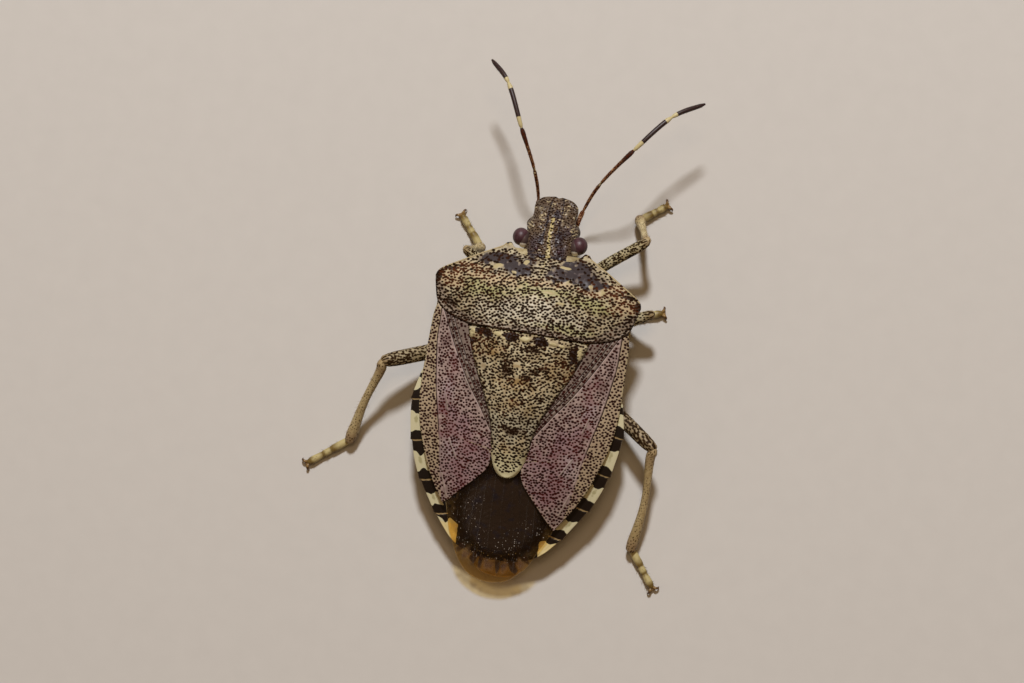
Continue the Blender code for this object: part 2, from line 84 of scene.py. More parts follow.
def matt_paint():
    """Emulsion on board: even, with a faint roller grain that only breaks up the light a little."""
    made, tree, at = new_material("matt_painted_board")
    grain = add_node(tree, "TexNoise", {"Vector": at, "Scale": 1.2, "Detail": 3.0})
    tone = add_node(tree, "MapRange", {0: grain, 3: 0.97, 4: 1.03})
    colour = add_node(tree, "VectorMath", {0: linear(FLOOR_PAINT)[:3], "Scale": tone}, operation="SCALE")
    shader = add_node(tree, "BsdfPrincipled", {"Base Color": colour, "Roughness": 0.75})
    add_node(tree, "OutputMaterial", {"Surface": shader})
    return made


bpy.ops.mesh.primitive_plane_add(size=FLOOR_SIZE)
floor = bpy.context.object
floor.name = "floor"
floor.data.materials.append(matt_paint())


# The view: a camera almost straight above the animal's head end, with soft lamps round it. The main lamp stands in
# front of the animal and above it, and a wide one overhead lightens its shadows. From here on places are in millimetres
# in the animal's own frame: x to its right, y towards its head, and the middle line at x = 0.
SCUTELLUM_BASE = 2.25  # where the front edge of the scutellum's solid lies in that frame
CAMERA_PLACE = (7.6534, -1.962, 116.3972)
CAMERA_TURN = (0.0473, 0.0663, 0.172)
CAMERA_LENS, CAMERA_SENSOR, CAMERA_NEAR = 100, 36, 5  # millimetres
LAMPS = {  # name: (direction that the light comes from, distance, width, watts, colour)
    "front_lamp": ((-0.1, 1.0, 1.3), 260, 30, 0.63, "#fafbff"),
    "top_lamp": ((0.05, 0.25, 1.0), 320, 90, 0.13, "#ffdcb0"),
    "side_lamp": ((-1.0, -0.5, 0.7), 300, 160, 0.03, "#fff2e0"),
}
ROOM_LIGHT = 0.15
ROOM_COLOUR = "#ffcd96"

low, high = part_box("scutellum")
middle_x = (low[0] + high[0]) / 2 / MM
middle_y = high[1] / MM - SCUTELLUM_BASE


def placed(points):
    """Points in the animal's own frame, in millimetres, as points of the model's frame, in metres."""
    return (np.asarray(points, float) + (middle_x, middle_y, 0)) * MM


camera = bpy.data.objects.new("camera", bpy.data.cameras.new("camera"))
bpy.context.scene.collection.objects.link(camera)
camera.location = placed(CAMERA_PLACE)
camera.rotation_euler = CAMERA_TURN
camera.data.lens = CAMERA_LENS
camera.data.sensor_width = CAMERA_SENSOR
camera.data.clip_start = CAMERA_NEAR * MM
bpy.context.scene.camera = camera
for name, (direction, distance, width, watts, colour) in LAMPS.items():
    lamp = bpy.data.lights.new(name, "AREA")
    lamp.shape = "DISK"
    lamp.size = width * MM
    lamp.energy = watts
    lamp.color = linear(colour)[:3]
    holder = bpy.data.objects.new(name, lamp)
    holder.location = Vector(direction).normalized() * distance * MM
    holder.rotation_euler = Vector(direction).to_track_quat("Z", "Y").to_euler()
    bpy.context.scene.collection.objects.link(holder)
room = bpy.data.worlds.new("room")
room.use_nodes = True
for key, value in (("Color", linear(ROOM_COLOUR)), ("Strength", ROOM_LIGHT)):
    room.node_tree.nodes["Background"].inputs[key].default_value = value
bpy.context.scene.world = room
bpy.context.scene.view_settings.view_transform = "Standard"


# The pronotum: the broad shield behind the head, one tanned plate of chitin as hard as a fingernail, grown onto the
# thorax. Its pale ground is punched full of dark pits. Two smooth dark patches lie behind the head.
# Below, curves are (place along y, value) points, edges (x, y) corners and spots (x, y, half-width, half-length).
DETAIL = 0.019  # distance between a plate's points
PIT_DEPTH = 0.024
BACK_MIDDLE = ((-7.7, 1.15), (-6.5, 1.95), (-5.0, 2.65), (-3.4, 3.35), (-1.0, 4.2), (0.5, 4.6),
               (2.4, 4.85), (3.4, 4.75), (4.5, 4.3), (5.5, 3.6), (6.2, 3.25))
BACK_RIM = ((-7.7, 1.05), (-6.0, 1.5), (-4.0, 1.95), (-2.0, 2.4), (0.0, 2.75), (2.5, 3.1), (4.2, 3.3), (6.2, 2.6))
BACK_HALF_WIDTH = ((-7.7, 0.9), (-7.0, 1.4), (-6.0, 2.15), (-5.0, 2.85), (-3.0, 3.95), (-1.0, 4.35),
                   (0.0, 4.2), (2.5, 4.0), (4.2, 4.15), (6.2, 2.4))
BACK_ROUNDNESS = 0.35  # small for a ridged back, large for a round one
HEAD_LEAN = 0.12  # how far the head is turned aside, to the animal's right
PRONOTUM_WIDTH, PRONOTUM_LENGTH = 8.3, 3.5
PRONOTUM_PIT_GAP, PRONOTUM_PIT = 0.096, 0.039  # the least distance between two pits, and a pit's radius
PRONOTUM_EDGE = ((0.01, 0.015), (0.02, 0.05), (0.01, 0.12), (-0.05, 0.18), (-0.25, 0.26), (-0.5, 0.34))
PRONOTUM_FRONT = ((0.0, 5.52), (0.4, 5.52), (0.8, 5.52), (1.05, 5.55), (1.25, 5.68), (1.4, 5.83), (1.52, 5.96),
                  (1.66, 5.93), (1.78, 5.8), (2.1, 5.62), (2.5, 5.39), (2.9, 5.15), (3.3, 4.91), (3.65, 4.7),
                  (3.95, 4.5), (4.1, 4.34), (4.15, 4.18))
PRONOTUM_REAR = ((0.0, 2.42), (0.3, 2.42), (0.6, 2.42), (0.9, 2.42), (1.2, 2.42), (1.5, 2.42), (1.8, 2.43),
                 (2.1, 2.44), (2.4, 2.46), (2.7, 2.53), (3.0, 2.62), (3.3, 2.74), (3.6, 2.9), (3.8, 3.08),
                 (3.93, 3.3), (4.02, 3.62), (4.1, 3.95))
SMOOTH_PATCHES = ((-1.85, 5.2, 0.55, 0.22), (-1.25, 5.12, 0.6, 0.42), (-0.7, 4.98, 0.4, 0.4),
                  (0.62, 5.0, 0.36, 0.34), (1.2, 5.1, 0.5, 0.45), (1.65, 5.04, 0.5, 0.42), (2.2, 4.92, 0.4, 0.26))
PATCH_SPOTS = ((-0.66, 5.22, 0.11, 0.1), (-1.05, 4.76, 0.13, 0.07), (-1.88, 4.92, 0.17, 0.08),
               (1.02, 4.68, 0.11, 0.09), (1.96, 4.72, 0.12, 0.07), (2.5, 4.56, 0.13, 0.1), (0.82, 5.26, 0.2, 0.05))
PALE_STREAKS = ((0.5, 4.12, 0.2, 0.05), (1.05, 3.78, 0.17, 0.045), (-0.62, 4.2, 0.12, 0.06), (-1.25, 3.92, 0.12, 0.05),
                (1.5, 5.82, 0.06, 0.06), (-1.5, 5.86, 0.06, 0.06))
CORNERS = ((3.98, 4.2, 0.17, 0.2), (3.62, 4.5, 0.36, 0.075), (3.25, 4.68, 0.24, 0.05))
RUSTY_SIDES = ((2.65, 4.76, 0.8, 0.2), (3.25, 4.2, 0.6, 0.3), (2.2, 4.45, 0.6, 0.12))
GREEN_SKIN = ((-2.0, 3.95, 0.9, 0.35), (0.2, 4.1, 1.2, 0.25), (1.2, 2.85, 1.6, 0.2), (2.1, 4.0, 0.8, 0.25))
GREY_SKIN = ((-0.9, 3.1, 1.2, 0.45), (0.9, 3.3, 1.3, 0.45))
BROWN_SKIN = ((-1.6, 4.4, 0.9, 0.22), (0.3, 4.5, 0.9, 0.15))
CREAM, OCHRE, EARTH = "#bbb092", "#9c8d6f", "#7a6b4d"
PIT_BLACK, PIT_RUST = "#22140a", "#4e2915"
PIT_RAGGED, PIT_FLECK = 0.22, 0.06  # how uneven a pit's outline is, and the size of its flecks


def through(points):
    """A smooth curve through (place, value) points that never swings past them."""
    place, value = np.array(sorted(points), float).T
    rise = np.diff(value) / np.diff(place)
    slope = np.concatenate([rise[:1], np.zeros(len(rise) - 1), rise[-1:]])
    same_way = rise[:-1] * rise[1:] > 0
    total = np.where(same_way, rise[:-1] + rise[1:], 1)
    slope[1:-1] = np.where(same_way, 2 * rise[:-1] * rise[1:] / total, 0)

    def value_at(at):
        at = np.clip(at, place[0], place[-1])
        i = np.clip(np.searchsorted(place, at) - 1, 0, len(place) - 2)
        width = place[i + 1] - place[i]
        t = (at - place[i]) / width
        start = (1 + 2 * t) * (1 - t) ** 2 * value[i] + t * (1 - t) ** 2 * width * slope[i]
        return start + t * t * (3 - 2 * t) * value[i + 1] + t * t * (t - 1) * width * slope[i + 1]

    return value_at


def rail(corners):
    """A smooth edge through (x, y) corners, as functions x and y of a share from 0 to 1."""
    share = np.linspace(0, 1, len(corners))
    return [through(list(zip(share, values))) for values in zip(*corners)]


back_middle = through(BACK_MIDDLE)
back_rim = through(BACK_RIM)
back_half_width = through(BACK_HALF_WIDTH)


def back(x, y):
    """Height of the animal's back at (x, y)."""
    across = np.abs(x) / back_half_width(y)
    full = math.hypot(1, BACK_ROUNDNESS) - BACK_ROUNDNESS
    fall = (np.hypot(across, BACK_ROUNDNESS) - BACK_ROUNDNESS) / full
    return back_middle(y) + (back_rim(y) - back_middle(y)) * fall


def lean(y):
    """How far the head end is shifted to the right at y."""
    t = np.clip((y - 3.5) / 2.5, 0, 1)
    return HEAD_LEAN * t * t * (3 - 2 * t)


def ease(value, start, end):
    """0 before start and 1 after end, turning smoothly between them."""
    t = np.clip((np.asarray(value) - start) / (end - start), 0, 1)
    return t * t * (3 - 2 * t)


def bump(away):
    """A smooth bump: 1 at 0, and nothing from 1 on."""
    return np.clip(1 - np.asarray(away) ** 2, 0, 1) ** 2


def mottle(x, y, size, seed):
    """Smooth random swells from -1 to 1, about as wide as size."""
    table = np.random.default_rng(seed).uniform(-1, 1, (64, 64))
    u, v = np.asarray(x) / size + 32, np.asarray(y) / size + 32
    i, j = np.floor(u).astype(int), np.floor(v).astype(int)
    s, t = ease(u - i, 0, 1), ease(v - j, 0, 1)
    left = table[i % 64, j % 64] * (1 - t) + table[i % 64, (j + 1) % 64] * t
    right = table[(i + 1) % 64, j % 64] * (1 - t) + table[(i + 1) % 64, (j + 1) % 64] * t
    return left * (1 - s) + right * s


def scatter(low, high, gap, wanted, seed):
    """Random places (x, y), all at least gap apart. Of them the share wanted(x, y) is kept."""
    random = np.random.default_rng(seed)
    count = int((high[0] - low[0]) * (high[1] - low[1]) * 8 / gap ** 2)
    cells = {}
    kept = []
    for x, y in random.uniform(low, high, (count, 2)).tolist():
        i, j = int(x // gap), int(y // gap)
        near = [place for a in (-1, 0, 1) for b in (-1, 0, 1) for place in cells.get((i + a, j + b), ())]
        if all((x - px) ** 2 + (y - py) ** 2 > gap * gap for px, py in near):
            cells.setdefault((i, j), []).append((x, y))
            kept.append((x, y))
    kept = np.array(kept)
    return kept[wanted(kept[:, 0], kept[:, 1]) > random.random(len(kept))]


def spots_at(x, y, spots, uneven=0.9):
    """1 in the middle of each spot (x, y, half-width, half-length), a half at its uneven edge, and 0 well outside."""
    swing_x = 0.6 * mottle(x, y, 0.5, 3) + 0.4 * mottle(x, y, 0.15, 1)
    swing_y = 0.6 * mottle(x, y, 0.5, 4) + 0.4 * mottle(x, y, 0.15, 2)
    return np.max([bump(np.hypot((x - a) / w + uneven * swing_x, (y - b) / h + uneven * swing_y) / 1.85)
                   for a, b, w, h in spots], axis=0)


def pitted(x, y, places, radius, stretch=1.0, seed=0):
    """How far each point lies into its nearest pit, 0 outside and 1 in the middle, and that pit's own random tone."""
    random = np.random.default_rng(seed)
    x, y = np.broadcast_arrays(x, y)
    flat_x, flat_y = x.ravel(), y.ravel()
    order = np.argsort(flat_y)
    sorted_x, sorted_y = flat_x[order], flat_y[order]
    depth, tone = np.zeros(len(order)), np.zeros(len(order))
    for px, py in places:
        size = radius * random.uniform(0.75, 1.2)
        longer = 1 + (stretch - 1) * random.random() + 0.25 * random.random()
        turn = random.normal(0, 0.35)
        own = random.random()
        reach = 1.6 * size
        start, end = np.searchsorted(sorted_y, (py - reach * longer, py + reach * longer))
        dx, dy = sorted_x[start:end] - px, sorted_y[start:end] - py
        along, aside = dx * math.cos(turn) + dy * math.sin(turn), dy * math.cos(turn) - dx * math.sin(turn)
        into = 1 - np.hypot(along / longer, aside) / reach
        deeper = into > depth[start:end]
        depth[start:end][deeper] = into[deeper]
        tone[start:end][deeper] = own
    result = np.zeros((2, len(order)))
    result[:, order] = depth, tone
    return result.reshape(2, *x.shape)


def grid_faces(rows, columns, ring=False):
    """Faces between neighbouring points of a grid. As a ring its rows close on themselves and its ends are capped."""
    i = np.arange(rows - 1)[:, None] * columns
    j = np.arange(columns if ring else columns - 1)[None, :]
    k = (j + 1) % columns
    faces = np.stack([i + j, i + k, i + columns + k, i + columns + j], -1).reshape(-1, 4).tolist()
    caps = [list(range(columns))[::-1], list(range((rows - 1) * columns, rows * columns))] if ring else []
    return faces + caps


def plate(x, y, z, edge, **values):
    """A plate from a grid of points, its edge turned down and under through steps of (outwards, downwards)."""
    x, y, z = np.broadcast_arrays(x, y, z)
    rows, columns = x.shape
    points = np.stack([x, y, z], -1).reshape(-1, 3)
    faces = grid_faces(rows, columns)
    index = np.arange(rows * columns).reshape(rows, columns)
    border = np.concatenate([index[0], index[1:, -1], index[-1, -2::-1], index[-2:0:-1, 0]])
    ring = points[border]
    ahead = np.roll(ring, -1, axis=0) - np.roll(ring, 1, axis=0)
    turn = np.sign(np.sum(ring[:, 0] * np.roll(ring[:, 1], -1) - ring[:, 1] * np.roll(ring[:, 0], -1)))
    outwards = np.stack([ahead[:, 1], -ahead[:, 0], 0 * ahead[:, 0]], -1) * turn
    outwards /= np.maximum(np.linalg.norm(outwards, axis=1), 1e-9)[:, None]
    layers, last = [points], border
    for number, (out, down) in enumerate(edge):
        layers.append(ring + outwards * out - (0, 0, down))
        new = rows * columns + number * len(border) + np.arange(len(border))
        faces += np.stack([np.roll(last, -1), last, new, np.roll(new, -1)], -1).tolist()
        last = new
    for name, value in values.items():
        value = np.ravel(np.broadcast_to(value, x.shape))
        values[name] = np.concatenate([value, np.tile(value[border], len(edge))])
    return np.concatenate(layers), faces, values


def piece(name, parts, finish, slot, *nodes):
    """One piece from its parts' points, faces and named values. It rides on the body and stands for its CAD nodes."""
    points, faces, values = [], [], {}
    names = sorted({key for part in parts for key in part[2]})
    start = 0
    for part_points, part_faces, part_values in parts:
        thirds = [(face[0], face[k], face[k + 1]) for face in part_faces for k in range(1, len(face) - 1)]
        corners = part_points[thirds] - part_points.mean(0) + (0, 0, 3)
        volume = np.einsum("ij,ij->i", corners[:, 0], np.cross(corners[:, 1], corners[:, 2])).sum()
        faces += [[start + i for i in (face if volume > 0 else face[::-1])] for face in part_faces]
        points.append(part_points)
        for key in names:
            values.setdefault(key, []).append(np.broadcast_to(part_values.get(key, 0.0), len(part_points)))
        start += len(part_points)
    mesh = bpy.data.meshes.new(name)
    mesh.from_pydata(placed(np.concatenate(points)).tolist(), [], faces)
    for key in names:
        layer = mesh.attributes.new(key, "FLOAT", "POINT")
        layer.data.foreach_set("value", np.concatenate(values[key]).astype(np.float32))
    mesh.shade_smooth()
    mesh.materials.append(finish)
    made = bpy.data.objects.new(name, mesh)
    bpy.context.scene.collection.objects.link(made)
    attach(made, "root")
    if nodes:
        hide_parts(*nodes)


def chitin(name, grounds, patches=(), pits=(PIT_BLACK, PIT_RUST), tints=(), roughness=0.45, halo=0.5, shine=0.3):
    """Tanned chitin: a waxy, slightly uneven skin. Its ground mixes three colours in flecks, soft tints and sharp
    patches lie where the named values say, and the pits are darkest of all. The wax gives a broad soft shine."""
    made, tree, at = new_material(name)

    def laid(under, top, key, uneven, size, start, end, most=1.0):
        """The colour under with top laid over it from where the named value passes start to where it passes end, its
        outline shaken by flecks of a size in millimetres."""
        flecks = add_node(tree, "TexNoise", {"Vector": at, "Scale": 1 / size, "Detail": 2.0 if size < 0.8 else 3.0})
        value = add_node(tree, "Attribute", out="Fac", attribute_name=key) if key else 0.0
        value = add_node(tree, "Math", {0: flecks, 1: uneven, 2: value}, operation="MULTIPLY_ADD")
        mask = add_node(tree, "MapRange", {0: value, 1: start + uneven / 2, 2: end + uneven / 2, 4: most},
                        interpolation_type="SMOOTHSTEP")
        return add_node(tree, "Mix", {0: mask, 6: under, 7: top}, out=2, data_type="RGBA")

    light, mid, dark = [linear(ground) for ground in grounds]
    colour = laid(mid, light, "", 1, 0.3, -0.14, 0.1)
    colour = laid(colour, dark, "", 1, 0.8, 0.02, 0.2)
    colour = laid(colour, mid, "", 1, 0.1, -0.05, 0.25)
    for key, tint in tints:
        colour = laid(colour, linear(tint), key, 0.5, 0.12, 0.0, 1.0)
    for key, patch in patches:
        colour = laid(colour, linear(patch), key, 0.7, 0.16, 0.38, 0.62)
    pit_colour = laid(linear(pits[0]), linear(pits[1]), "warm", 0.3, 0.7, 0.2, 1.0)
    colour = laid(colour, pit_colour, "pit", PIT_RAGGED, PIT_FLECK, 0.02, 0.32, halo)
    colour = laid(colour, pit_colour, "pit", PIT_RAGGED, PIT_FLECK, 0.22, 0.4)
    flecks, cloud, grain = [add_node(tree, "TexNoise", {"Vector": at, "Scale": 1 / size, "Detail": 2.0})
                            for size in (PIT_FLECK, 0.2, 0.035)]
    pit = add_node(tree, "Attribute", out="Fac", attribute_name="pit")
    pit = add_node(tree, "Math", {0: flecks, 1: PIT_RAGGED, 2: pit}, operation="MULTIPLY_ADD")
    gloss = add_node(tree, "MapRange", {0: pit, 1: PIT_RAGGED / 2, 2: 0.3 + PIT_RAGGED / 2, 3: shine, 4: 0.03})
    rough = add_node(tree, "MapRange", {0: cloud, 3: roughness - 0.07, 4: roughness + 0.09})
    bumps = add_node(tree, "Bump", {"Height": grain, "Strength": 0.35, "Distance": 0.006 * MM})
    shader = add_node(tree, "BsdfPrincipled", {"Base Color": colour, "Roughness": rough, "Normal": bumps, "IOR": 1.54,
                                               "Specular IOR Level": gloss})
    add_node(tree, "OutputMaterial", {"Surface": shader})
    return made


def pronotum():
    front_x, front_y = rail(PRONOTUM_FRONT)
    rear_x, rear_y = rail(PRONOTUM_REAR)
    across = np.linspace(-1, 1, int(PRONOTUM_WIDTH / DETAIL))[None, :]
    along = np.linspace(0, 1, int(PRONOTUM_LENGTH / DETAIL))[:, None]
    share = np.abs(across)
    y = front_y(share) + (rear_y(share) - front_y(share)) * along
    x = np.sign(across) * (front_x(share) + (rear_x(share) - front_x(share)) * along)
    from_front = (front_y(share) - y) * ease(share, 0.33, 0.4)
    from_rear = y - rear_y(share)
    patch = spots_at(x, y, SMOOTH_PATCHES, 0.8)
    spots = spots_at(x, y, PATCH_SPOTS + PALE_STREAKS, 1.5)
    rim = bump(from_front / 0.085) * ease(share, 0.34, 0.4) * (1 - ease(share, 0.88, 0.95))
    # Dark side corners in their own colour, and painted shade as a dark line along the rear edge, where it steps down.
    corner = np.maximum(spots_at(np.abs(x), y, CORNERS), bump(from_rear / 0.07))
    rusty = spots_at(np.abs(x), y, RUSTY_SIDES)
    behind = spots_at(x, y, BROWN_SKIN)
    band = 0.12 + 0.4 * ease(share, 0.45, 0.85)
    rear = 1 - ease(from_rear + 0.12 * mottle(x, y, 0.3, 9), band, band + 0.25)
    # Folds at the rear sides, sunk into the plate and painted darker in their troughs as painted shade.
    folds = ease(mottle(x * 1.2 + y, y * 3 - np.abs(x), 0.3, 6), 0.05, 0.5) * rear * ease(share, 0.4, 0.7)
    midline = bump((x - 0.02) / 0.05) * ease(y, 4.5, 4.8)

    def wanted(px, py):
        smooth = spots_at(px, py, PATCH_SPOTS + PALE_STREAKS) * 2 + 0.95 * spots_at(px, py, SMOOTH_PATCHES, 0.8)
        line = np.interp(np.abs(px), *np.array(PRONOTUM_FRONT[8:]).T)
        return 1.2 - smooth - 2.0 * bump((line - py) / 0.11) * (np.abs(px) > 1.4) * (np.abs(px) < 3.7)

    places = scatter((-4.2, 2.4), (4.2, 6.1), PRONOTUM_PIT_GAP, wanted, 11)
    more = scatter((-4.2, 2.4), (4.2, 5.0), 0.09,
                   lambda px, py: 0.12 * spots_at(np.abs(px), py, RUSTY_SIDES + CORNERS), 13)
    pit, own = pitted(x, y, np.concatenate([places, more]), PRONOTUM_PIT, 1.5, 12)
    wrinkle = mottle(x, y, 0.16, 5) * 0.02 * patch - 0.03 * folds
    z = back(x, y) + 0.04 * patch + wrinkle - 0.05 * bump((y - 4.6) / 0.3) * (1 - ease(share, 0.6, 0.85))
    z = z + 0.04 * bump((from_front - 0.03) / 0.05) * ease(share, 0.36, 0.42) + 0.015 * mottle(x, y, 0.5, 7)
    z = z - PIT_DEPTH * ease(pit, 0.15, 0.7) - 0.035 * bump((from_rear - 0.13) / 0.05) + 0.02 * spots
    z = z - 0.03 * bump(from_front / 0.25) * (1 - rim) + 0.03 * bump(from_rear / 0.3)
    warm = 0.2 + 0.65 * rusty + 0.25 * behind + 0.6 * (own - 0.5)
    skin = chitin("pronotum_chitin", (CREAM, OCHRE, EARTH),
                  (("patch", "#383031"), ("corner", "#35281d"), ("rim", "#a99870"), ("spots", "#aea077")),
                  tints=(("bloom", "#554a4c"), ("green", "#a2a06a"), ("brown", "#b9a582"), ("rear", "#86776a"),
                         ("grey", "#ccc6b2"), ("midline", "#b0a26c"), ("folds", "#43372b")))
    worn = 0.5 * ease(mottle(x, y, 0.16, 10), 0.1, 0.7)
    body = plate(x + lean(y), y, z, PRONOTUM_EDGE, pit=pit, warm=warm, patch=patch * 1.1 - worn, bloom=patch,
                 spots=spots, rim=rim, corner=corner, rear=rear * 0.7, midline=midline * 0.6, folds=folds * 0.8,
                 grey=0.6 * spots_at(x, y, GREY_SKIN), green=0.7 * spots_at(x, y, GREEN_SKIN),
                 brown=np.maximum(rusty, behind) * 0.9)
    piece("pronotum_plate", [body], skin, "pronotum_shell", "pronotum")


pronotum()


# The scutellum: the long triangle of the same chitin between the wings, set in under the pronotum's rear edge. Five
# smooth ivory beads stand along its base with dark skin between them, its pits run together into cross wrinkles, and
# its tip is pale.
SCUTELLUM_HALF = ((-3.34, 0.02), (-3.32, 0.17), (-3.24, 0.32), (-3.0, 0.5), (-2.5, 0.68), (-1.5, 0.86), (-1.0, 1.0),
                  (0.0, 1.45), (1.0, 1.95), (2.25, 2.4), (2.6, 2.5))
SCUTELLUM_FRONT = 2.6
SCUTELLUM_TIP = -3.34
SCUTELLUM_ROWS, SCUTELLUM_COLUMNS = int(6.0 / DETAIL), int(4.9 / DETAIL)
SCUTELLUM_RISE = 0.1
SCUTELLUM_PIT_GAP, SCUTELLUM_PIT = 0.095, 0.034
SCUTELLUM_EDGE = ((0.02, 0.02), (0.025, 0.06), (0.0, 0.12), (-0.06, 0.15), (-0.2, 0.17))
BASE_BEADS = ((-2.2, 2.08, 0.1, 0.19), (-1.16, 2.2, 0.15, 0.09), (-0.9, 2.05, 0.06, 0.05), (-0.05, 2.15, 0.2, 0.09),
              (1.05, 2.14, 0.14, 0.06), (1.4, 2.12, 0.1, 0.05), (2.12, 1.98, 0.1, 0.2))
DARK_AREAS = ((-1.7, 2.2, 0.3, 0.16), (-0.62, 2.16, 0.26, 0.16), (0.6, 2.14, 0.28, 0.17), (1.85, 1.95, 0.2, 0.35),
              (2.1, 1.55, 0.1, 0.2), (-2.2, 1.72, 0.14, 0.2))
SMUDGES = ((-0.62, 0.85, 0.2, 0.24), (-0.75, 1.18, 0.3, 0.1), (0.85, 1.12, 0.18, 0.12), (0.55, 0.9, 0.25, 0.11),
           (0.25, 0.66, 0.26, 0.1), (0.35, 1.75, 0.25, 0.1), (-0.1, -1.45, 0.4, 0.15))
OPEN_AREAS = ((-1.28, 1.42, 0.16, 0.08), (-0.16, 1.06, 0.2, 0.07), (-0.12, 0.44, 0.1, 0.1), (-0.1, 0.1, 0.1, 0.06),
              (-1.55, 0.85, 0.12, 0.08), (0.2, 1.95, 0.1, 0.06))
RUSTY_AREAS = ((-1.6, 1.55, 0.6, 0.45), (1.5, 1.2, 0.5, 0.55), (-0.1, 0.35, 0.8, 0.25), (0.0, -0.5, 0.45, 0.3),
               (-0.1, -2.2, 0.25, 0.2))
GREY_AREA = ((0.0, -1.3, 0.9, 0.6),)


def scutellum():
    half = through(SCUTELLUM_HALF)
    length = SCUTELLUM_FRONT - SCUTELLUM_TIP
    turn = np.linspace(0, 1, SCUTELLUM_ROWS)[:, None] * math.pi / 2
    y = SCUTELLUM_FRONT - length * np.sin(turn) ** 1.1
    across = np.linspace(-1, 1, SCUTELLUM_COLUMNS)[None, :]
    x = half(y) * across
    beads = spots_at(x, y, BASE_BEADS, 0.4)
    dark = spots_at(x, y, DARK_AREAS)
    open_skin = spots_at(x, y, OPEN_AREAS)
    tip = ease(-y, 1.8, 3.0)
    tip_edge = bump((1 - np.abs(across)) * half(y) / 0.09) * ease(-y, 2.4, 2.9)
    # Painted shade: a dark line along its side edges near the base, in the seam where it meets the wings.
    flank = ease((1 - np.abs(across)) * half(y), 0.1, 0.0) * (1 - ease(-y, 1.8, 2.4))

    def wanted(px, py):
        bare = spots_at(px, py, BASE_BEADS, 0.4) * 4 + spots_at(px, py, OPEN_AREAS)
        rim = bump((through(SCUTELLUM_HALF)(py) - np.abs(px)) / 0.14) * ease(-py, 2.3, 2.8) + ease(-py, 3.17, 3.22)
        return 1.1 - bare - 2 * rim - 0.1 * ease(-py, 1.8, 2.6)

    places = scatter((-2.5, -3.4), (2.5, 2.6), SCUTELLUM_PIT_GAP, wanted, 23)
    more = scatter((-2.5, -1.6), (2.5, 2.6), 0.08,
                   lambda px, py: 0.12 + 0.8 * spots_at(px, py, DARK_AREAS + SMUDGES)
                   + 0.25 * spots_at(px, py, RUSTY_AREAS[:2]), 26)
    pit, own = pitted(x, y, np.concatenate([places, more]), SCUTELLUM_PIT, 1.7, 24)
    z = back(x, y) + SCUTELLUM_RISE - 0.08 * np.abs(across) ** 8 + 0.05 * ease(beads, 0.2, 0.8)
    z = z + 0.025 * mottle(x * 0.7, y * 1.6, 0.3, 25) - PIT_DEPTH * ease(pit, 0.15, 0.7)
    z = z - 0.24 * ease(y, 2.22, 2.48)
    warm = 0.2 + 0.3 * spots_at(x, y, RUSTY_AREAS) + 0.5 * (own - 0.5)
    skin = chitin("scutellum_chitin", ("#c0b594", "#a89877", "#8c7b59"),
                  (("dark", "#332a29"), ("beads", "#b8ac82")),
                  tints=(("warmth", "#9c8358"), ("grey", "#a29c86"), ("tip", "#c4bf98"), ("smudge", "#5a4936"),
                         ("flank", "#3a2e20")))
    grey = spots_at(x, y, GREY_AREA) + 0.5 * bump((np.abs(across) - 0.8) / 0.3)
    body = plate(x, y, z, SCUTELLUM_EDGE, pit=pit * (1 - beads), warm=warm, beads=beads * 1.3, grey=0.7 * grey,
                 dark=dark * (1.2 + 0.3 * mottle(x, y, 0.15, 27)), tip=np.maximum(tip * 0.75, tip_edge),
                 flank=flank * 0.8, smudge=0.9 * spots_at(x, y, SMUDGES),
                 warmth=0.7 * spots_at(x, y, RUSTY_AREAS) + 0.7 * open_skin)
    piece("scutellum_plate", [body], skin, "scutellum_shell", "scutellum")


scutellum()


# The fore wings: each has a leathery front part, a sheet of grey to mauve chitin punched with dark pits, hinged below
# the pronotum's corner. It is folded along a line beside the scutellum, and a second line sets off the ochre strip at
# its outer edge.
WING_OUTER = ((-5.3, 2.1), (-4.98, 2.28), (-4.2, 2.8), (-3.0, 3.4), (-1.0, 3.95), (0.0, 4.02), (2.5, 3.97), (3.1, 3.86))
WING_FRONT = 3.1
WING_LENGTH, WING_WIDTH = 8.2, 3.3
WING_PIT_GAP, WING_PIT = 0.096, 0.037
WING_EDGE = ((0.012, 0.02), (0.015, 0.05), (0.0, 0.09), (-0.06, 0.11), (-0.2, 0.12))
WING_REAR = {  # each wing's rear edge from the scutellum to the tip, and the left lies a little further forward
    "wing_left": ((0.72, -2.62), (0.72, -2.85), (0.8, -3.1), (1.02, -3.38), (1.3, -3.68), (1.74, -4.1), (2.3, -4.74)),
    "wing_right": ((0.58, -2.86), (0.6, -3.12), (0.7, -3.42), (0.9, -3.72), (1.26, -4.14), (1.75, -4.7), (2.15, -5.12)),
}
STRIP_LINE = ((-4.6, 2.5), (-3.3, 2.76), (-2.1, 2.96), (-1.25, 3.14), (-0.3, 3.36), (0.75, 3.53), (1.95, 3.66),
              (2.75, 3.66))
FOLD_LINE = ((-1.7, 0.8), (-1.3, 1.06), (-0.7, 1.46), (-0.1, 1.9), (0.55, 2.32), (1.5, 2.86), (2.87, 3.56))
FOLD_SLOPE = 0.85  # cosine of the fold line's slant
PALE_VEINS = (((2.24, 0.32), (1.92, -0.13)), ((2.5, -2.2), (2.08, -2.95)), ((2.62, -3.6), (2.3, -4.5)),
              ((2.9, -0.5), (2.72, -1.1)))
WINE_AREAS = ((2.75, -0.9, 0.4, 0.7), (2.5, -1.9, 0.5, 0.5), (1.6, -2.2, 0.55, 0.5), (2.8, 0.5, 0.3, 0.5),
              (1.9, -3.6, 0.4, 0.5))
PURPLE_AREAS = ((1.3, -2.7, 0.9, 0.9), (1.8, -3.6, 0.8, 0.8), (1.9, -1.6, 0.7, 0.7))
LILAC_AREAS = ((2.8, -0.3, 0.4, 0.5), (2.4, -2.5, 0.4, 0.5), (2.2, 1.2, 0.4, 0.5))
